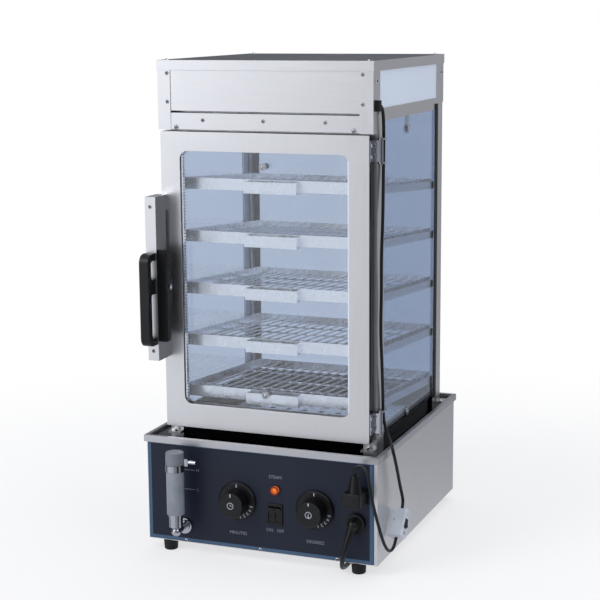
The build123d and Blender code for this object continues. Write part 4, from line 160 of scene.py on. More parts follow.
def add_node(tree, kind, inputs=None, **settings):
    """Add a node, set its properties and feed its inputs with sockets or plain values."""
    node = tree.nodes.new(kind)
    for name, value in settings.items():
        setattr(node, name, value)
    for name, value in (inputs or {}).items():
        if isinstance(value, bpy.types.NodeSocket):
            tree.links.new(value, node.inputs[name])
        else:
            node.inputs[name].default_value = value
    return node


def start_material(name, colour, **shader_values):
    """Make a node material and return it with its tree and its shader."""
    material = bpy.data.materials.new(name)
    material.use_nodes = True
    shader = material.node_tree.nodes["Principled BSDF"]
    shader.inputs["Base Color"].default_value = (*colour, 1)
    for socket, value in shader_values.items():
        shader.inputs[socket.replace("_", " ")].default_value = value
    return material, material.node_tree, shader


def object_pattern(tree, scale, detail=2.0, roughness=0.5):
    """Noise on the object's own coordinates; scale is in cells a metre along X, Y and Z."""
    place = add_node(tree, "ShaderNodeTexCoord")
    stretched = add_node(tree, "ShaderNodeMapping", {"Vector": place.outputs["Object"], "Scale": scale})
    return add_node(
        tree, "ShaderNodeTexNoise",
        {"Vector": stretched.outputs["Vector"], "Scale": 1.0, "Detail": detail, "Roughness": roughness},
    )


def remap(tree, socket, low, high):
    """Spread the middle of a noise over a range."""
    return add_node(
        tree, "ShaderNodeMapRange",
        {"Value": socket, "From Min": NOISE_LOW, "From Max": NOISE_HIGH, "To Min": low, "To Max": high},
    ).outputs["Result"]


def tinted(tree, socket, colour, dark, light):
    """A colour whose brightness follows a noise."""
    level = remap(tree, socket, dark, light)
    scaled = add_node(
        tree, "ShaderNodeVectorMath", {0: colour, "Scale": level}, operation="SCALE",
    )
    return scaled.outputs["Vector"]


def brushed_stainless(name, grain_axis, colour, roughness=0.34):
    """304 sheet with a No. 4 finish: long fine scratches along the grain stretch its reflections."""
    material, tree, shader = start_material(name, colour, Metallic=1.0)
    scale = [1 / GRAIN_W] * 3
    scale[grain_axis] = 1 / GRAIN_L
    grain = object_pattern(tree, tuple(scale), detail=3.0, roughness=0.6)
    smudge = object_pattern(tree, (SMUDGES_A_METRE,) * 3, detail=3.0)
    tint = tinted(tree, grain.outputs["Fac"], colour, dark=0.97, light=1.02)
    tree.links.new(tint, shader.inputs["Base Color"])
    grain_level = remap(tree, grain.outputs["Fac"], low=roughness - 0.03, high=roughness + 0.04)
    smudge_level = remap(tree, smudge.outputs["Fac"], low=-0.02, high=0.03)
    level = add_node(tree, "ShaderNodeMath", {0: grain_level, 1: smudge_level}, operation="ADD")
    tree.links.new(level.outputs["Value"], shader.inputs["Roughness"])
    bump = add_node(
        tree, "ShaderNodeBump",
        {"Height": grain.outputs["Fac"], "Strength": 0.05, "Distance": BUMP_DEPTH},
    )
    tree.links.new(bump.outputs["Normal"], shader.inputs["Normal"])
    return material


def polished_metal(name, colour, roughness):
    """Plated or buffed metal: a clear reflection with faint wipe marks."""
    material, tree, shader = start_material(name, colour, Metallic=1.0)
    wipes = object_pattern(tree, WIPES_A_METRE, detail=4.0)
    level = remap(tree, wipes.outputs["Fac"], low=roughness * 0.7, high=roughness * 1.5)
    tree.links.new(level, shader.inputs["Roughness"])
    return material


def moulded_plastic(name, colour, roughness, grit_mm=0.7, depth=0.2):
    """Moulded phenolic, ABS or PVC: a fine spark-eroded texture that breaks up the highlight."""
    material, tree, shader = start_material(name, colour, IOR=1.4)
    grit = object_pattern(tree, (1 / (grit_mm * MM),) * 3)
    cloud = object_pattern(tree, (CLOUDS_A_METRE,) * 3)
    tint = tinted(tree, cloud.outputs["Fac"], colour, dark=0.85, light=1.15)
    tree.links.new(tint, shader.inputs["Base Color"])
    level = remap(tree, grit.outputs["Fac"], low=roughness * 0.85, high=roughness * 1.2)
    tree.links.new(level, shader.inputs["Roughness"])
    bump = add_node(
        tree, "ShaderNodeBump",
        {"Height": grit.outputs["Fac"], "Strength": depth, "Distance": BUMP_DEPTH},
    )
    tree.links.new(bump.outputs["Normal"], shader.inputs["Normal"])
    return material


def toughened_glass(name, colour, roughness=0.0):
    """Soda-lime glass; shadow rays pass it, so that the lamps reach the racks behind it."""
    material, tree, shader = start_material(
        name, colour, IOR=1.45, Transmission_Weight=1.0, Roughness=roughness,
    )
    rays = add_node(tree, "ShaderNodeLightPath")
    solid = add_node(
        tree, "ShaderNodeMapRange",
        {"Value": rays.outputs["Is Shadow Ray"], "To Min": 1.0, "To Max": PANE_SHADOW},
    )
    tree.links.new(solid.outputs["Result"], shader.inputs["Alpha"])
    return material


def frosted_acrylic(name, colour):
    """Cast opal acrylic: it scatters the lamp's light evenly and keeps a soft gloss."""
    material, tree, shader = start_material(
        name, colour, IOR=1.49, Roughness=0.3, Emission_Strength=OPAL_GLOW,
    )
    shader.inputs["Emission Color"].default_value = (*colour, 1)
    cloud = object_pattern(tree, (OPAL_CLOUDS_A_METRE,) * 3)
    tint = tinted(tree, cloud.outputs["Fac"], colour, dark=0.96, light=1.03)
    tree.links.new(tint, shader.inputs["Base Color"])
    return material


def lacquered_panel(name, colour):
    """Screen-printed enamel on the panel plate: a smooth navy coat with a slight orange peel."""
    material, tree, shader = start_material(name, colour, IOR=1.32)
    peel = object_pattern(tree, (PEEL_A_METRE,) * 3)
    cloud = object_pattern(tree, (ENAMEL_CLOUDS_A_METRE,) * 3)
    tint = tinted(tree, cloud.outputs["Fac"], colour, dark=0.9, light=1.12)
    tree.links.new(tint, shader.inputs["Base Color"])
    level = remap(tree, peel.outputs["Fac"], low=0.36, high=0.46)
    tree.links.new(level, shader.inputs["Roughness"])
    bump = add_node(
        tree, "ShaderNodeBump",
        {"Height": peel.outputs["Fac"], "Strength": 0.08, "Distance": BUMP_DEPTH},
    )
    tree.links.new(bump.outputs["Normal"], shader.inputs["Normal"])
    return material


def printed_ink(name, colour):
    """Screen ink: matt, slightly uneven in cover."""
    material, tree, shader = start_material(name, colour, Roughness=0.55)
    cover = object_pattern(tree, (INK_GRAINS_A_METRE,) * 3)
    tint = tinted(tree, cover.outputs["Fac"], colour, dark=0.88, light=1.02)
    tree.links.new(tint, shader.inputs["Base Color"])
    return material


def lamp_lens(name, colour):
    """Fluted polycarbonate lens with a lamp behind it."""
    material, tree, shader = start_material(
        name, colour, IOR=1.58, Roughness=0.2, Emission_Strength=LENS_GLOW,
    )
    shader.inputs["Emission Color"].default_value = (*colour, 1)
    flutes = object_pattern(tree, (FLUTES_A_METRE,) * 3)
    tint = tinted(tree, flutes.outputs["Fac"], colour, dark=0.7, light=1.1)
    tree.links.new(tint, shader.inputs["Base Color"])
    return material


FINISHES = {}


def make_finishes():
    """Make every finish once, under the name of its real material."""
    c = colours()
    made = (
        brushed_stainless("Brushed stainless, level grain", 0, c.stainless),
        brushed_stainless("Brushed stainless, upright grain", 2, c.stainless),
        brushed_stainless("Brushed stainless, fore-and-aft grain", 1, c.stainless),
        # Painted light: a lighter, bluer copy of the stainless, polished smoother
        polished_metal("Bright stainless with painted light", c.bright_stainless_painted_light, 0.26),
        # Painted reflection: near-black polished steel for stainless faces that mirror dark surroundings
        polished_metal("Painted dark reflection", c.painted_dark_reflection, 0.08),
        # Painted reflection: the cap's top drawn as darker blue-grey stainless
        brushed_stainless("Stainless with painted dark reflection", 0, c.cap_painted_dark_reflection),
        # The tray's stainless, drawn darker than the body's
        brushed_stainless("Darker tray stainless", 0, c.tray_darker_stainless),
        polished_metal("Chrome plate", c.chrome, 0.1),
        lacquered_panel("Navy enamel", c.panel),
        printed_ink("Steel-blue ink", c.panel_border),
        printed_ink("White ink", c.ink),
        printed_ink("Grey ink", c.dim_ink),
        # Black ink prints the switch's marks, and also serves as painted shade in the screws' recesses and
        # the spacer's holes
        printed_ink("Black ink and painted shade", c.black_plastic),
        moulded_plastic("Black phenolic", c.black_plastic, 0.42),
        moulded_plastic("Nitrile rubber", c.rubber, 0.62, grit_mm=1.0, depth=0.35),
        moulded_plastic("PVC sheath", c.cord, 0.4, grit_mm=1.2),
        moulded_plastic("White ABS", c.white_plastic, 0.33),
        moulded_plastic("Grey polypropylene", c.grey_plastic, 0.4),
        frosted_acrylic("Opal acrylic", c.acrylic),
        # The side and rear panes' blue is partly tint and partly painted reflection
        toughened_glass("Toughened glass", c.glass),
        toughened_glass("Clear toughened glass", c.door_glass),
        moulded_plastic("Ground glass edge", c.glass_edge, 0.3),
        moulded_plastic("Clouded polycarbonate", c.tube, 0.3),
        lamp_lens("Amber polycarbonate", c.amber),
        moulded_plastic("Dark red ABS", c.bezel, 0.3),
    )
    FINISHES.update({material.name: material for material in made})


# Shapes

CAPITAL_SHARE = 0.7          # height of a capital letter, as a share of its font's size


def dress(names, finish, edge=None, smooth_angle=35.0):
    """Give CAD nodes a finish, and break the edges of folded sheet where edge is given."""
    for name in names:
        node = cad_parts[name]
        node.data.materials.clear()
        node.data.materials.append(FINISHES[finish])
        weld = node.modifiers.new("Weld", "WELD")
        weld.merge_threshold = WELD_GAP
        if edge:
            bevel = node.modifiers.new("Bevel", "BEVEL")
            bevel.width = edge
            bevel.segments = 2
            bevel.limit_method = "ANGLE"
            bevel.angle_limit = BROKEN_EDGE_ANGLE
            bevel.use_clamp_overlap = False
        for polygon in node.data.polygons:
            polygon.use_smooth = True
        split = node.modifiers.new("Sharp edges", "EDGE_SPLIT")
        split.split_angle = radians(smooth_angle)
        if edge:
            flat = node.modifiers.new("Flat faces", "WEIGHTED_NORMAL")
            flat.keep_sharp = True


def dress_faces(name, finish, wanted):
    """Give some faces of a CAD node a second finish; wanted is asked for each face."""
    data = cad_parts[name].data
    data.materials.append(FINISHES[finish])
    for polygon in data.polygons:
        if wanted(polygon):
            polygon.material_index = len(data.materials) - 1


def add_piece(name, data, finish, body):
    """Link a mesh or curve as a piece that rides on a body."""
    piece = bpy.data.objects.new(name, data)
    bpy.context.scene.collection.objects.link(piece)
    data.materials.append(FINISHES[finish])
    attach(piece, body)
    return piece


def mesh_from(name, made):
    """Turn a bmesh into a mesh, with its normals outwards."""
    bmesh.ops.recalc_face_normals(made, faces=made.faces)
    mesh = bpy.data.meshes.new(name)
    made.to_mesh(mesh)
    made.free()
    return mesh


def add_bar(made, low, high):
    """Add a box between two corners."""
    low, high = Vector(low), Vector(high)
    place = Matrix.Translation((low + high) / 2) @ Matrix.Diagonal((*(high - low), 1))
    bmesh.ops.create_cube(made, size=1, matrix=place)


def facing_front(x, y, z, turn=0.0):
    """Place for a flat mark that faces the front, turned clockwise as seen from there."""
    upright = Matrix(((1, 0, 0, x), (0, 0, -1, y), (0, 1, 0, z), (0, 0, 0, 1)))
    return upright @ Matrix.Rotation(-turn, 4, "Z")


def add_text(made, words, height, place):
    """Add raised lettering to a bmesh; the words are centred on the place."""
    curve = bpy.data.curves.new("Words", "FONT")
    curve.body = words
    curve.size = height / CAPITAL_SHARE
    curve.extrude = MARK_T / 2
    curve.align_x = "CENTER"
    curve.align_y = "CENTER"
    curve.resolution_u = 2
    carrier = bpy.data.objects.new("Words", curve)
    bpy.context.scene.collection.objects.link(carrier)
    mesh = bpy.data.meshes.new_from_object(
        carrier.evaluated_get(bpy.context.evaluated_depsgraph_get())
    )
    mesh.transform(place)
    made.from_mesh(mesh)
    bpy.data.objects.remove(carrier)
    bpy.data.curves.remove(curve)
    bpy.data.meshes.remove(mesh)


def add_disc(made, place, radius, thickness, sides=32):
    """Add a flat disc centred on its place."""
    bmesh.ops.create_cone(
        made, cap_ends=True, segments=sides, radius1=radius, radius2=radius, depth=thickness, matrix=place,
    )


# Cords

BASE_MIDDLE_Y = 27.0
LAMP_CORD_D = 6.0 * MM
MAINS_CORD_D = 9.0 * MM
CORD_ORDER = 3


def in_metres(points, back=BASE_MIDDLE_Y):
    """Route points given in millimetres from the base's middle, in the frame's metres."""
    return [Vector((x, y + back, z)) * MM for x, y, z in points]


UPPER_ROUTE = in_metres([
    (218.6, -195.0, 867.0), (218.6, -186.0, 867.0), (219.0, -177.5, 858.0), (219.6, -174.0, 839.0),
    (218.6, -170.0, 806.0), (217.0, -166.4, 766.0), (218.4, -172.0, 713.0), (220.5, -180.5, 656.0),
    (219.0, -184.0, 592.0), (218.0, -179.5, 524.0), (217.6, -183.5, 454.0), (218.8, -178.0, 386.0),
    (217.4, -168.5, 328.0), (217.4, -166.6, 284.0), (222.5, -168.5, 264.0), (230.5, -175.5, 251.5),
    (238.0, -186.5, 244.5), (244.5, -196.5, 237.5), (248.8, -199.5, 226.0), (250.4, -192.5, 208.0),
    (251.2, -180.5, 182.0), (251.8, -168.0, 153.0), (254.0, -160.0, 131.0), (256.0, -161.26, 117.81),
    (256.0, -169.26, 107.56),
])
LOWER_ROUTE = in_metres([
    (256.0, -203.74, 63.44), (256.0, -211.74, 53.19),
    (255.4, -224.0, 46.5), (254.4, -238.0, 47.5), (253.0, -251.0, 56.0), (251.0, -262.5, 71.0),
    (249.0, -272.5, 90.0), (246.5, -282.0, 113.0), (243.5, -291.0, 138.0), (240.5, -297.5, 161.0),
    (237.5, -300.5, 182.0), (234.5, -300.0, 199.0), (230.5, -297.0, 213.5), (222.5, -292.0, 221.5),
    (211.5, -287.5, 221.5),
]) + in_metres([(203.0, -258.1, 214.0), (203.0, -258.1, 202.0)], back=0.0)
CORD_Z = 4.6
MAINS_ROUTE = in_metres([(185.775, -254.383, 70.0), (181.904, -259.693, 55.411)], back=0.0) + in_metres([
    (178.2, -285.5, 39.5), (174.5, -277.0, 25.5), (170.5, -265.0, 15.0), (167.5, -247.0, 8.5),
    (165.0, -223.0, CORD_Z), (162.5, -193.0, CORD_Z), (161.0, -149.0, CORD_Z), (163.5, -93.0, CORD_Z),
    (167.0, -8.0, CORD_Z), (160.0, 78.0, CORD_Z), (149.0, 152.0, CORD_Z),
    (140.0, 216.0, CORD_Z), (133.0, 268.0, CORD_Z),
])
COIL_CENTRE = Vector((70.0, 362.0, CORD_Z)) * MM
COIL_R = 60.0 * MM
COIL_TURN_STEP = 10.5 * MM
COIL_LAYER_STEP = 9.6 * MM
COIL_TURNS = 3.25
COIL_REVERSE_TURN = 1.75
COIL_CLIMB_TURNS = 0.5       # the cord climbs to the upper layer over this many turns
COIL_APPROACH = 4.0 * MAINS_CORD_D
COIL_TAIL = 38.0 * MM
COIL_POINTS_A_TURN = 16


def coil_point(turns):
    """A point of the coil: inwards in the lower layer, then outwards in the upper one."""
    angle = 2 * pi * turns
    inner_r = COIL_R - COIL_TURN_STEP * COIL_REVERSE_TURN
    radius = inner_r + COIL_TURN_STEP * abs(turns - COIL_REVERSE_TURN)
    climbed = min(max((turns - COIL_REVERSE_TURN) / COIL_CLIMB_TURNS + 0.5, 0), 1)
    outset = 1 / cos(pi / COIL_POINTS_A_TURN)
    out = Vector((cos(angle), sin(angle), 0)) * radius * outset
    return COIL_CENTRE + out + Vector((0, 0, COIL_LAYER_STEP * climbed))


def mains_route():
    """The mains cord's points: down to the floor, back under the base and into its coil."""
    steps = round(COIL_TURNS * COIL_POINTS_A_TURN)
    approach = COIL_CENTRE + Vector((COIL_R, -COIL_APPROACH, 0))
    turns = [coil_point(step / COIL_POINTS_A_TURN) for step in range(steps + 1)]
    end_angle = 2 * pi * COIL_TURNS
    tail = turns[-1] + Vector((-sin(end_angle), cos(end_angle), 0)) * COIL_TAIL
    return MAINS_ROUTE + [approach] + turns + [tail]


def cord_curve(name, points, diameter):
    """A round sheath on a smooth spline."""
    curve = bpy.data.curves.new(name, "CURVE")
    curve.dimensions = "3D"
    curve.bevel_depth = diameter / 2
    curve.bevel_resolution = 6
    curve.resolution_u = 8
    curve.use_fill_caps = True
    spline = curve.splines.new("NURBS")
    spline.points.add(len(points) - 1)
    for point, place in zip(spline.points, points):
        point.co = (*place, 1)
    spline.order_u = CORD_ORDER
    spline.use_endpoint_u = True
    return curve


# Operators

RACKS = range(1, 6)
DECK_BELOW = 227.0 * MM      # the tray's deck lies under its rim
SILL_BELOW = 262.0 * MM      # the column's sill rails end here
DOOR_SIDE_X = 190.0 * MM     # the door's hinged side lies beyond this
PANE_EDGE_AREA = 4100 * MM * MM          # a pane's edge is smaller than this
ROUNDED_NODES = (
    ("Brushed stainless, upright grain", ("base_shell", "door_frame")),
    ("Darker tray stainless", ("top_tray",)),
)
OTHER_NODES = (
    ("Brushed stainless, upright grain", ("head_shell", "handle_channel", "corner_posts", "door_back")),
    ("Brushed stainless, level grain", ("frame_rails", "head_cap", "front_fascia", "drip_strip")),
    ("Brushed stainless, fore-and-aft grain", ("rack_runners", "ceiling_panel", "water_tank")),
    # Painted light: the racks, uprights and inner parts get a lighter, bluer stainless than the body
    ("Bright stainless with painted light", (
        *(f"rack_{number}" for number in RACKS), "rack_uprights", "steam_plate", "heating_element",
    )),
    ("Chrome plate", (
        *(f"rack_grid_{number}" for number in RACKS), "dome_screws", "glass_bolts", "door_fasteners",
        "hinge_post_leaves", "hinge_door_leaves", "gauge_fitting", "gauge_clamp",
    )),
    ("Navy enamel", ("control_panel",)),
    ("Black phenolic", (
        "timer_knob", "thermostat_knob", "rocker_frame", "rocker_left", "rocker_right", "lamp_socket",
        "cable_gland", "handle_grip", "squeeze_lever", "switch_rocker", "timer_body", "thermostat_body",
        "door_keeper", "mains_plug", "lamp_plug",
    )),
    ("Nitrile rubber", ("feet", "glass_seals", "door_gasket", "cable_grommet")),
    ("Grey polypropylene", ("gauge_cap",)),
    ("White ABS", ("switch_body",)),
    ("Opal acrylic", ("light_panels", "head_lamp")),
    ("Toughened glass", ("glass_panes",)),
    ("Clear toughened glass", ("door_glass",)),
    ("Clouded polycarbonate", ("gauge_tube",)),
    ("Amber polycarbonate", ("indicator_lamp",)),
)


def is_tray_deck(face):
    """Whether a face of the tray is its deck, under the rim."""
    return face.normal.z > FACING and face.center.z < DECK_BELOW


def is_sill(face):
    """Whether a face of the frame's rails belongs to the sill."""
    return face.center.z < SILL_BELOW


def is_hinged_side(face):
    """Whether a face of the door is on its hinged side."""
    return face.normal.x > FACING and face.center.x > DOOR_SIDE_X


def looks_up(face):
    """Whether a face looks up."""
    return face.normal.z > FACING


def looks_right(face):
    """Whether a face looks right, as seen from the front."""
    return face.normal.x > FACING


def is_pane_edge(face):
    """Whether a face of a pane is its top or bottom edge."""
    return abs(face.normal.z) > FACING and face.area < PANE_EDGE_AREA


class STEAMER_OT_finishes(bpy.types.Operator):
    """Make the finishes and put them on the nodes that keep their shape"""

    bl_idname = "steamer.finishes"
    bl_label = "Finishes"

    def execute(self, context):
        make_finishes()
        for finish, nodes in ROUNDED_NODES:
            dress(nodes, finish, edge=sizes().edge_round)
        for finish, nodes in OTHER_NODES:
            dress(nodes, finish)
        # The deck, the sill and the door's side are stainless too. They are drawn nearly black, as they
        # look in the photograph, most likely from what they mirror there.
        dress_faces("top_tray", "Painted dark reflection", is_tray_deck)
        dress_faces("frame_rails", "Painted dark reflection", is_sill)
        dress_faces("door_frame", "Painted dark reflection", is_hinged_side)
        dress_faces("door_back", "Painted dark reflection", is_hinged_side)
        # Painted reflection: the faces of the cap that look up get the darker blue-grey stainless
        dress_faces("head_cap", "Stainless with painted dark reflection", looks_up)
        # Painted shade: the channel's right side is stainless too; darker, smoother chrome is put there so
        # that this side looks dark
        dress_faces("handle_channel", "Chrome plate", looks_right)
        dress_faces("glass_panes", "Ground glass edge", is_pane_edge)
        return {"FINISHED"}


class STEAMER_OT_lamp_cord(bpy.types.Operator):
    """Lay the head lamp's cord down the side to its switch, and on to the panel's socket"""

    bl_idname = "steamer.lamp_cord"
    bl_label = "Lamp cord"

    def execute(self, context):
        upper = add_piece(
            "lamp_flex_upper", cord_curve("lamp_flex_upper", UPPER_ROUTE, LAMP_CORD_D),
            "PVC sheath", "cabinet",
        )
        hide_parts("lamp_cord_upper")
        lower = add_piece(
            "lamp_flex_lower", cord_curve("lamp_flex_lower", LOWER_ROUTE, LAMP_CORD_D),
            "PVC sheath", "cabinet",
        )
        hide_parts("lamp_cord_lower")
        return {"FINISHED"}


class STEAMER_OT_mains_cord(bpy.types.Operator):
    """Lay the mains cord from its gland under the base to the coil behind it"""

    bl_idname = "steamer.mains_cord"
    bl_label = "Mains cord"

    def execute(self, context):
        points = mains_route()
        flex = add_piece(
            "mains_flex", cord_curve("mains_flex", points, MAINS_CORD_D),
            "PVC sheath", "cabinet",
        )
        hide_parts("mains_cord", "mains_coil")
        return {"FINISHED"}


class STEAMER_OT_stage(bpy.types.Operator):
    """Set the floor, the lamps and the camera at the photograph's place"""

    bl_idname = "steamer.stage"
    bl_label = "Stage"

    def execute(self, context):
        make_floor()
        make_world()
        make_lamps()
        make_camera()
        return {"FINISHED"}


CAMERA_PLACE = Vector((1.104, -2.812, 1.034))
CAMERA_AZIMUTH = radians(21.50)
CAMERA_PITCH = radians(10.58)
CAMERA_ROLL = radians(-0.45)
CAMERA_LENS_MM = 92.6
SENSOR_MM = 36.0
FLOOR_HALF = 8.0
FLOOR_NEAR = 0.55            # the floor fades to white from here
FLOOR_FAR = 1.6              # and is all white from here on
FLOOR_WHITE_NEAR = 0.6       # share of white close to the cabinet
FLOOR_COLOUR = "#f4f4f5"


def make_camera():
    """A camera where the photograph was taken from."""
    azimuth, pitch = CAMERA_AZIMUTH, CAMERA_PITCH
    forward = Vector((-sin(azimuth) * cos(pitch), cos(azimuth) * cos(pitch), -sin(pitch)))
    level_right = Vector((cos(azimuth), sin(azimuth), 0))
    level_up = level_right.cross(forward)
    right = cos(CAMERA_ROLL) * level_right + sin(CAMERA_ROLL) * level_up
    up = cos(CAMERA_ROLL) * level_up - sin(CAMERA_ROLL) * level_right
    data = bpy.data.cameras.new("Camera")
    data.lens = CAMERA_LENS_MM
    data.sensor_width = SENSOR_MM
    camera = bpy.data.objects.new("Camera", data)
    bpy.context.scene.collection.objects.link(camera)
    axes = Matrix((right, up, -forward)).transposed().to_4x4()
    camera.matrix_world = Matrix.Translation(CAMERA_PLACE) @ axes
    bpy.context.scene.camera = camera


def seen_directly(tree):
    """1 for what the camera sees, bare or through glass, and 0 for what lights and reflections meet."""
    rays = add_node(tree, "ShaderNodeLightPath")
    seen = add_node(
        tree, "ShaderNodeMath",
        {0: rays.outputs["Is Camera Ray"], 1: rays.outputs["Is Transmission Ray"]}, operation="MAXIMUM",
    )
    return seen.outputs["Value"]


def make_floor():
    """A pale floor that keeps the object's shadow and fades into the white background."""
    made = bmesh.new()
    bmesh.ops.create_grid(made, x_segments=1, y_segments=1, size=FLOOR_HALF)
    mesh = mesh_from("Floor", made)
    floor = bpy.data.objects.new("Floor", mesh)
    bpy.context.scene.collection.objects.link(floor)
    material = bpy.data.materials.new("Pale floor")
    material.use_nodes = True
    tree = material.node_tree
    tree.nodes.clear()
    place = add_node(tree, "ShaderNodeTexCoord")
    distance = add_node(
        tree, "ShaderNodeVectorMath", {0: place.outputs["Object"]}, operation="LENGTH",
    )
    fade = add_node(
        tree, "ShaderNodeMapRange",
        {"Value": distance.outputs["Value"], "From Min": FLOOR_NEAR, "From Max": FLOOR_FAR,
         "To Min": FLOOR_WHITE_NEAR, "To Max": 1.0},
        interpolation_type="SMOOTHSTEP",
    )
    glow = add_node(
        tree, "ShaderNodeMath", {0: fade.outputs["Result"], 1: seen_directly(tree)}, operation="MULTIPLY",
    )
    matt = add_node(tree, "ShaderNodeBsdfDiffuse", {"Color": (*linear(FLOOR_COLOUR), 1)})
    white = add_node(tree, "ShaderNodeEmission", {"Color": (1, 1, 1, 1), "Strength": 1.0})
    blend = add_node(
        tree, "ShaderNodeMixShader",
        {0: glow.outputs["Value"], 1: matt.outputs["BSDF"], 2: white.outputs["Emission"]},
    )
    add_node(tree, "ShaderNodeOutputMaterial", {"Surface": blend.outputs["Shader"]})
    mesh.materials.append(material)
    floor.visible_glossy = False


# Each step of light is (height, from -1 straight down to 1 straight up, and brightness)
BACK_LIGHT = (
    (-1.0, 0.7), (-0.36, 0.85), (-0.31, 0.6), (-0.27, 0.36), (-0.1, 0.4), (0.0, 0.48), (0.15, 0.3),
    (0.6, 0.3), (1.0, 0.9),
)
FRONT_LIGHT = ((-1.0, 0.7), (-0.2, 0.8), (-0.12, 0.42), (0.0, 0.28), (0.3, 0.3), (0.7, 0.8), (1.0, 1.0))
ALL_BACK_Y = 0.25            # a direction this far back has the back light alone
ALL_FRONT_Y = -0.3           # and one this far forward the front light alone
COOL = (0.94, 0.97, 1.04)
BOARDS = (
    # (azimuth to the right of the front, elevation, inner and outer angle, brightness)
    (-39.0, 4.0, 8.0, 22.0, 2.1),
    (26.0, 3.0, 16.0, 32.0, 0.3),
    (62.0, 4.0, 20.0, 34.0, 0.03),
    (-88.0, 0.0, 14.0, 26.0, 0.05),
)


def light_by_height(tree, height, steps):
    """Brightness of the studio from the ground to the zenith."""
    ramp_node = add_node(tree, "ShaderNodeValToRGB", {"Fac": height})
    ramp = ramp_node.color_ramp
    while len(ramp.elements) < len(steps):
        ramp.elements.new(0.5)
    for element, (z, level) in zip(ramp.elements, steps):
        element.position = (z + 1) / 2
        element.color = (*(level * tint for tint in COOL), 1)
    return ramp_node.outputs["Color"]


def make_world():
    """White behind the object, and a studio of bright and dark boards for its reflections."""
    world = bpy.data.worlds.new("Studio")
    bpy.context.scene.world = world
    world.use_nodes = True
    tree = world.node_tree
    tree.nodes.clear()
    place = add_node(tree, "ShaderNodeTexCoord").outputs["Generated"]
    parts = add_node(tree, "ShaderNodeSeparateXYZ", {"Vector": place})
    height = add_node(
        tree, "ShaderNodeMapRange", {"Value": parts.outputs["Z"], "From Min": -1.0, "From Max": 1.0},
    ).outputs["Result"]
    front = add_node(
        tree, "ShaderNodeMapRange",
        {"Value": parts.outputs["Y"], "From Min": ALL_BACK_Y, "From Max": ALL_FRONT_Y},
        interpolation_type="SMOOTHSTEP",
    )
    studio = add_node(
        tree, "ShaderNodeMix",
        {"Factor": front.outputs["Result"], "A": light_by_height(tree, height, BACK_LIGHT),
         "B": light_by_height(tree, height, FRONT_LIGHT)},
        data_type="RGBA",
    ).outputs["Result"]
    for azimuth, elevation, inner, outer, level in BOARDS:
        azimuth, elevation = radians(azimuth), radians(elevation)
        middle = (sin(azimuth) * cos(elevation), -cos(azimuth) * cos(elevation), sin(elevation))
        nearness = add_node(tree, "ShaderNodeVectorMath", {0: place, 1: middle}, operation="DOT_PRODUCT")
        cover = add_node(
            tree, "ShaderNodeMapRange",
            {"Value": nearness.outputs["Value"],
             "From Min": cos(radians(outer)), "From Max": cos(radians(inner))},
            interpolation_type="SMOOTHSTEP",
        )
        studio = add_node(
            tree, "ShaderNodeMix",
            {"Factor": cover.outputs["Result"], "A": studio, "B": (*(level * tint for tint in COOL), 1)},
            data_type="RGBA",
        ).outputs["Result"]
    colour = add_node(
        tree, "ShaderNodeMix", {"Factor": seen_directly(tree), "A": studio, "B": (1, 1, 1, 1)},
        data_type="RGBA",
    )
    light = add_node(tree, "ShaderNodeBackground", {"Color": colour.outputs["Result"], "Strength": 1.0})
    add_node(tree, "ShaderNodeOutputWorld", {"Surface": light.outputs["Background"]})


LAMPS = {
    # name: (place, side of the soft box, power in watts)
    "Key": ((-1.9, -2.6, 2.5), 1.6, 45.0),
    "Fill": ((2.6, -1.6, 1.5), 1.4, 14.0),
    "Top": ((0.2, 0.6, 2.6), 1.8, 18.0),
}
AIM = Vector((0.0, 0.0, 0.45))


def make_lamps():
    """Three soft boxes around the cabinet."""
    for name, (place, size, power) in LAMPS.items():
        data = bpy.data.lights.new(name, "AREA")
        data.size = size
        data.energy = power
        lamp = bpy.data.objects.new(name, data)
        bpy.context.scene.collection.objects.link(lamp)
        lamp.location = place
        lamp.rotation_euler = (AIM - Vector(place)).to_track_quat("-Z", "Y").to_euler()


PILOT_RING_R = 8.6 * MM
PILOT_LENS_R = 6.2 * MM
PILOT_RING_T = 1.2 * MM
CAPTIONS = (
    # (words, the node that they stand under or over, distance below its box)
    ("MINUTES", "timer_knob", 27.0 * MM),
    ("DEGREES", "thermostat_knob", 27.0 * MM),
    ("ON   OFF", "rocker_frame", 11.5 * MM),
    ("STEAM", "indicator_lamp", -33.0 * MM),
)
LEVEL_X = -156.0 * MM
LEVEL_LINE_H = 1.1 * MM
LEVEL_TEXT_GAP = 6.0 * MM
LEVELS = ((168.3 * MM, "H"), (129.8 * MM, "L"))


def middle_of(node):
    """Middle of a CAD node's box."""
    low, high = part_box(node)
    return (low + high) / 2


def add_ring(made, place, outer, inner, thickness, sides=32):
    """Add a flat ring centred on its place."""
    rims = []
    for radius, z in ((outer, -1), (outer, 1), (inner, 1), (inner, -1)):
        rims.append([
            made.verts.new(place @ Vector((
                radius * cos(2 * pi * step / sides), radius * sin(2 * pi * step / sides), z * thickness / 2,
            )))
            for step in range(sides)
        ])
    for rim, following in zip(rims, rims[1:] + rims[:1]):
        for step in range(sides):
            after = (step + 1) % sides
            made.faces.new((rim[step], rim[after], following[after], following[step]))


def add_block(made, place, width, height, thickness):
    """Add a box centred on its place."""
    bmesh.ops.create_cube(made, size=1, matrix=place @ Matrix.Diagonal((width, height, thickness, 1)))


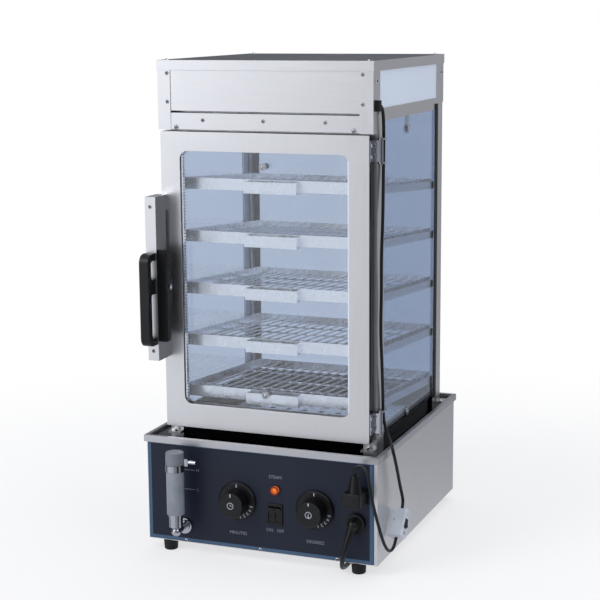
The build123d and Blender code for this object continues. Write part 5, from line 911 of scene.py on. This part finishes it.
class STEAMER_OT_panel_marks(bpy.types.Operator):
    """Print the control panel's border, captions and level marks, and set the pilot lamp's ring"""

    bl_idname = "steamer.panel_marks"
    bl_label = "Panel marks"

    def execute(self, context):
        s = sizes()
        low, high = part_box("control_panel")
        face = low.y - LIFT
        x0, x1 = low.x + s.border_inset, high.x - s.border_inset
        z0, z1 = low.z + s.border_inset, high.z - s.border_inset
        border = bmesh.new()
        for (bar_x0, bar_z0), (bar_x1, bar_z1) in (
            ((x0, z0), (x1, z0 + s.border_w)), ((x0, z1 - s.border_w), (x1, z1)),
            ((x0, z0 + s.border_w), (x0 + s.border_w, z1 - s.border_w)),
            ((x1 - s.border_w, z0 + s.border_w), (x1, z1 - s.border_w)),
        ):
            add_bar(border, (bar_x0, face - MARK_T, bar_z0), (bar_x1, face, bar_z1))
        add_piece(
            "panel_border", mesh_from("panel_border", border), "Steel-blue ink", "cabinet",
        )

        marks = bmesh.new()
        mark_y = face - MARK_T / 2
        for words, node, drop in CAPTIONS:
            caption_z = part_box(node)[0].z - drop
            add_text(marks, words, s.caption_h, facing_front(middle_of(node).x, mark_y, caption_z))
        for level_z, words in LEVELS:
            add_bar(
                marks, (LEVEL_X, face - MARK_T, level_z - LEVEL_LINE_H / 2),
                (LEVEL_X + s.level_line, face, level_z + LEVEL_LINE_H / 2),
            )
            text_x = LEVEL_X + s.level_line + LEVEL_TEXT_GAP
            add_text(marks, words, s.caption_h, facing_front(text_x, mark_y, level_z))
        add_piece("panel_captions", mesh_from("panel_captions", marks), "Grey ink", "cabinet")

        bezel = bmesh.new()
        lens = middle_of("indicator_lamp")
        front = facing_front(lens.x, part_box("indicator_lamp")[0].y - PILOT_RING_T / 2 + LIFT, lens.z)
        add_ring(bezel, front, PILOT_RING_R, PILOT_LENS_R, PILOT_RING_T)
        add_piece("pilot_ring", mesh_from("pilot_ring", bezel), "Dark red ABS", "cabinet")
        return {"FINISHED"}


DIAL_SCALE_START = radians(103)
DIAL_SCALE_STEP = radians(15.5)
DIAL_NUMERAL_IN = 6.5 * MM
DIAL_TICK_L = 6.0 * MM
DIAL_TICK_W = 1.6 * MM
HUB_TIP_R = 24.5 * MM
HUB_TICK_IN = 4.5 * MM
PICTOGRAM_R = 6.5 * MM
PICTOGRAM_LINE = 0.9 * MM
BULB_R = 1.5 * MM


class STEAMER_OT_dial_marks(bpy.types.Operator):
    """Print the numbers, the ticks and a pictogram on both dials"""

    bl_idname = "steamer.dial_marks"
    bl_label = "Dial marks"

    def execute(self, context):
        s = sizes()
        for knob, body, has_clock in (
            ("timer_knob", "timer_dial", True), ("thermostat_knob", "thermostat_dial", False),
        ):
            low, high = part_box(knob)
            middle = (low + high) / 2
            skirt_r = (high.x - low.x) / 2
            numeral_r = skirt_r - DIAL_NUMERAL_IN
            skirt_y = skirt_face(knob, numeral_r)
            marks = bmesh.new()
            for number in range(s.dial_numerals):
                turn = DIAL_SCALE_START + number * DIAL_SCALE_STEP
                add_text(marks, str(s.dial_numerals - number), s.numeral_h,
                         around(middle, skirt_y, numeral_r, turn))
            add_block(marks, around(middle, skirt_y, numeral_r, 0.0), DIAL_TICK_W, DIAL_TICK_L, MARK_T)
            hub_tick = around(middle, low.y, HUB_TIP_R - HUB_TICK_IN, 0.0)
            add_block(marks, hub_tick, DIAL_TICK_W, DIAL_TICK_L, MARK_T)
            centre = around(middle, low.y, 0.0, 0.0)
            add_ring(marks, centre, PICTOGRAM_R, PICTOGRAM_R - PICTOGRAM_LINE, MARK_T)
            if has_clock:
                self.add_clock(marks, centre)
            else:
                self.add_thermometer(marks, centre)
            add_piece(
                knob.replace("_knob", "_numerals"), mesh_from(knob + "_numerals", marks), "White ink",
                body,
            )
        return {"FINISHED"}

    def add_clock(self, marks, centre):
        """Set two hands in the ring."""
        hand = PICTOGRAM_R / 2
        upright = centre @ Matrix.Translation((0, hand / 2, 0))
        level = centre @ Matrix.Translation((hand / 2, 0, 0))
        add_block(marks, upright, PICTOGRAM_LINE, hand, MARK_T)
        add_block(marks, level, hand, PICTOGRAM_LINE, MARK_T)

    def add_thermometer(self, marks, centre):
        """Set a stem and its bulb in the ring."""
        add_block(marks, centre, PICTOGRAM_LINE, PICTOGRAM_R, MARK_T)
        add_disc(marks, centre @ Matrix.Translation((0, -PICTOGRAM_R / 2, 0)), BULB_R, MARK_T, sides=16)


def around(middle, face_y, radius, turn):
    """Place on a dial's face, clockwise from its top as seen from the front."""
    x = middle.x + radius * sin(turn)
    z = middle.z + radius * cos(turn)
    return facing_front(x, face_y - LIFT - MARK_T / 2, z, turn)


def skirt_face(knob, radius):
    """Front of a knob where its skirt is widest, read from the frame."""
    low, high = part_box(knob)
    middle = (low + high) / 2
    return min(
        vertex.co.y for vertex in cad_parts[knob].data.vertices
        if Vector((vertex.co.x - middle.x, vertex.co.z - middle.z)).length > radius
    )


SCREW_LONGEST = 12.0 * MM    # a longer solid of the same node isn't a screw
RIM_SHARE = 0.45             # of a screw's width: what is further out is its rim
RECESS_L = 4.4 * MM
RECESS_W = 1.1 * MM
RECESS_T = 0.6 * MM


def solids_of(node):
    """Vertex places of each separate solid of a CAD node, in the same order each run."""
    made = bmesh.new()
    made.from_mesh(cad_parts[node].data)
    bmesh.ops.remove_doubles(made, verts=made.verts, dist=WELD_GAP)
    left = dict.fromkeys(made.verts)
    solids = []
    while left:
        first = next(iter(left))
        del left[first]
        reached = [first]
        edge_of_reach = [first]
        while edge_of_reach:
            vertex = edge_of_reach.pop()
            for edge in vertex.link_edges:
                other = edge.other_vert(vertex)
                if other in left:
                    del left[other]
                    reached.append(other)
                    edge_of_reach.append(other)
        solids.append([vertex.co.copy() for vertex in reached])
    made.free()
    return solids


def screw_tip(points):
    """Tip and outward direction of a dome-head screw, or None if the solid isn't one."""
    low = Vector([min(point[i] for point in points) for i in range(3)])
    high = Vector([max(point[i] for point in points) for i in range(3)])
    extent = high - low
    if max(extent) > SCREW_LONGEST:
        return None
    axis = max(range(3), key=lambda i: extent[i])
    middle = (low + high) / 2
    rim_r = RIM_SHARE * min(extent[i] for i in range(3) if i != axis)
    rim = [
        point[axis] for point in points
        if Vector([point[i] - middle[i] for i in range(3) if i != axis]).length > rim_r
    ]
    rim_level = sum(rim) / len(rim)
    tip = middle.copy()
    outward = Vector((0, 0, 0))
    outward[axis] = 1 if high[axis] - rim_level < rim_level - low[axis] else -1
    tip[axis] = high[axis] if outward[axis] > 0 else low[axis]
    return tip, outward


class STEAMER_OT_screw_recesses(bpy.types.Operator):
    """Set a dark cross of painted shade in every dome-head screw for its recess, without cutting the head
    """

    bl_idname = "steamer.screw_recesses"
    bl_label = "Screw recesses"

    def execute(self, context):
        for node, body in (("dome_screws", "cabinet"), ("door_fasteners", "door")):
            crosses = bmesh.new()
            for points in solids_of(node):
                found = screw_tip(points)
                if found is None:
                    continue
                tip, outward = found
                turn = outward.to_track_quat("Z", "Y").to_matrix().to_4x4()
                place = Matrix.Translation(tip - outward * (RECESS_T / 2 - LIFT)) @ turn
                add_block(crosses, place, RECESS_L, RECESS_W, RECESS_T)
                add_block(crosses, place, RECESS_W, RECESS_L, RECESS_T)
            name = node + "_recesses"
            add_piece(name, mesh_from(name, crosses), "Black ink and painted shade", body)
        return {"FINISHED"}


SWITCH_MIDDLE = Vector((256.0, -159.5, 85.5)) * MM
SWITCH_TILT = radians(38)
SWITCH_TURN = radians(12)
SWITCH_HALF_T = 15.0 * MM
SWITCH_MARK_ALONG = 18.0 * MM
SWITCH_MARK_R = 3.4 * MM
SWITCH_MARK_L = 5.0 * MM
SWITCH_MARK_W = 1.0 * MM


class STEAMER_OT_switch_marks(bpy.types.Operator):
    """Print a ring and a line on the two ends of the in-line switch"""

    bl_idname = "steamer.switch_marks"
    bl_label = "Switch marks"

    def execute(self, context):
        outward = Vector((
            cos(SWITCH_TURN), -cos(SWITCH_TILT) * sin(SWITCH_TURN), sin(SWITCH_TILT) * sin(SWITCH_TURN),
        ))
        along = Vector((0, sin(SWITCH_TILT), cos(SWITCH_TILT)))
        across = outward.cross(along)
        turn = Matrix((along, across, outward)).transposed().to_4x4()
        face = SWITCH_MIDDLE + outward * (SWITCH_HALF_T + LIFT + MARK_T / 2)
        marks = bmesh.new()
        place = Matrix.Translation(face - along * SWITCH_MARK_ALONG) @ turn
        add_ring(marks, place, SWITCH_MARK_R, SWITCH_MARK_R - SWITCH_MARK_W, MARK_T)
        place = Matrix.Translation(face + along * SWITCH_MARK_ALONG) @ turn
        add_block(marks, place, SWITCH_MARK_L, SWITCH_MARK_W, MARK_T)
        add_piece("inline_marks", mesh_from("inline_marks", marks), "Black ink and painted shade", "cabinet")
        return {"FINISHED"}


SPACER_SET_IN = 0.4 * MM
SPACER_W = 3.2 * MM
SPACER_GAP = 0.2 * MM
SPACER_PITCH = 6.0 * MM
SPACER_HOLE_H = 2.2 * MM
SPACER_HOLE_T = 0.1 * MM
PANE_T = 4.0 * MM
WINDOW = (Vector((-171.0, 0, 289.0)) * MM, Vector((167.0, 0, 778.5)) * MM)


class STEAMER_OT_door_spacer(bpy.types.Operator):
    """Set the spacer bars between the door's two panes, with dark blocks of painted shade for their holes
    """

    bl_idname = "steamer.door_spacer"
    bl_label = "Door spacer"

    def execute(self, context):
        low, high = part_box("door_glass")
        window_low, window_high = WINDOW
        y0, y1 = low.y + PANE_T + SPACER_GAP, high.y - PANE_T - SPACER_GAP
        x0, x1 = window_low.x + SPACER_SET_IN, window_high.x - SPACER_SET_IN
        z0, z1 = window_low.z + SPACER_SET_IN, window_high.z - SPACER_SET_IN
        bars = bmesh.new()
        add_bar(bars, (x0, y0, z0), (x0 + SPACER_W, y1, z1))
        add_bar(bars, (x1 - SPACER_W, y0, z0), (x1, y1, z1))
        add_piece("door_spacer", mesh_from("door_spacer", bars), "Bright stainless with painted light", "door")
        # Painted shade: thin dark blocks stand in for the shade inside the spacer's holes
        holes = bmesh.new()
        steps = int((z1 - z0) / SPACER_PITCH)
        for inner, way in ((x0 + SPACER_W, 1), (x1 - SPACER_W, -1)):
            for step in range(1, steps):
                hole_z = z0 + step * SPACER_PITCH
                low_x, high_x = sorted((inner, inner + way * SPACER_HOLE_T))
                add_bar(
                    holes, (low_x, y0 + SPACER_W / 2, hole_z),
                    (high_x, y1 - SPACER_W / 2, hole_z + SPACER_HOLE_H),
                )
        add_piece(
            "door_spacer_holes", mesh_from("door_spacer_holes", holes), "Black ink and painted shade", "door",
        )
        return {"FINISHED"}


OPERATORS = (
    STEAMER_OT_finishes,
    STEAMER_OT_stage,
    STEAMER_OT_lamp_cord,
    STEAMER_OT_mains_cord,
    STEAMER_OT_panel_marks,
    STEAMER_OT_dial_marks,
    STEAMER_OT_switch_marks,
    STEAMER_OT_screw_recesses,
    STEAMER_OT_door_spacer,
)


class STEAMER_PT_pieces(bpy.types.Panel):
    """Lists the pieces in the order in which they are made"""

    bl_idname = "STEAMER_PT_pieces"
    bl_label = "Steamer"
    bl_space_type = "VIEW_3D"
    bl_region_type = "UI"
    bl_category = "Steamer"

    def draw(self, context):
        for operator in OPERATORS:
            self.layout.operator(operator.bl_idname)
        for group in (colours(), sizes()):
            for name in group.__annotations__:
                self.layout.prop(group, name)


CLASSES = (SteamerColours, SteamerSizes, *OPERATORS, STEAMER_PT_pieces)


def register():
    """Register the classes and hang the two groups on the scene."""
    for cls in CLASSES:
        bpy.utils.register_class(cls)
    bpy.types.Scene.steamer_colours = PointerProperty(type=SteamerColours)
    bpy.types.Scene.steamer_sizes = PointerProperty(type=SteamerSizes)


def unregister():
    """Undo register."""
    del bpy.types.Scene.steamer_sizes
    del bpy.types.Scene.steamer_colours
    for cls in reversed(CLASSES):
        bpy.utils.unregister_class(cls)


def main():
    register()
    bpy.context.scene.view_settings.view_transform = "Standard"
    for operator in OPERATORS:
        group, name = operator.bl_idname.split(".")
        getattr(getattr(bpy.ops, group), name)()


if __name__ == "__main__":
    main()
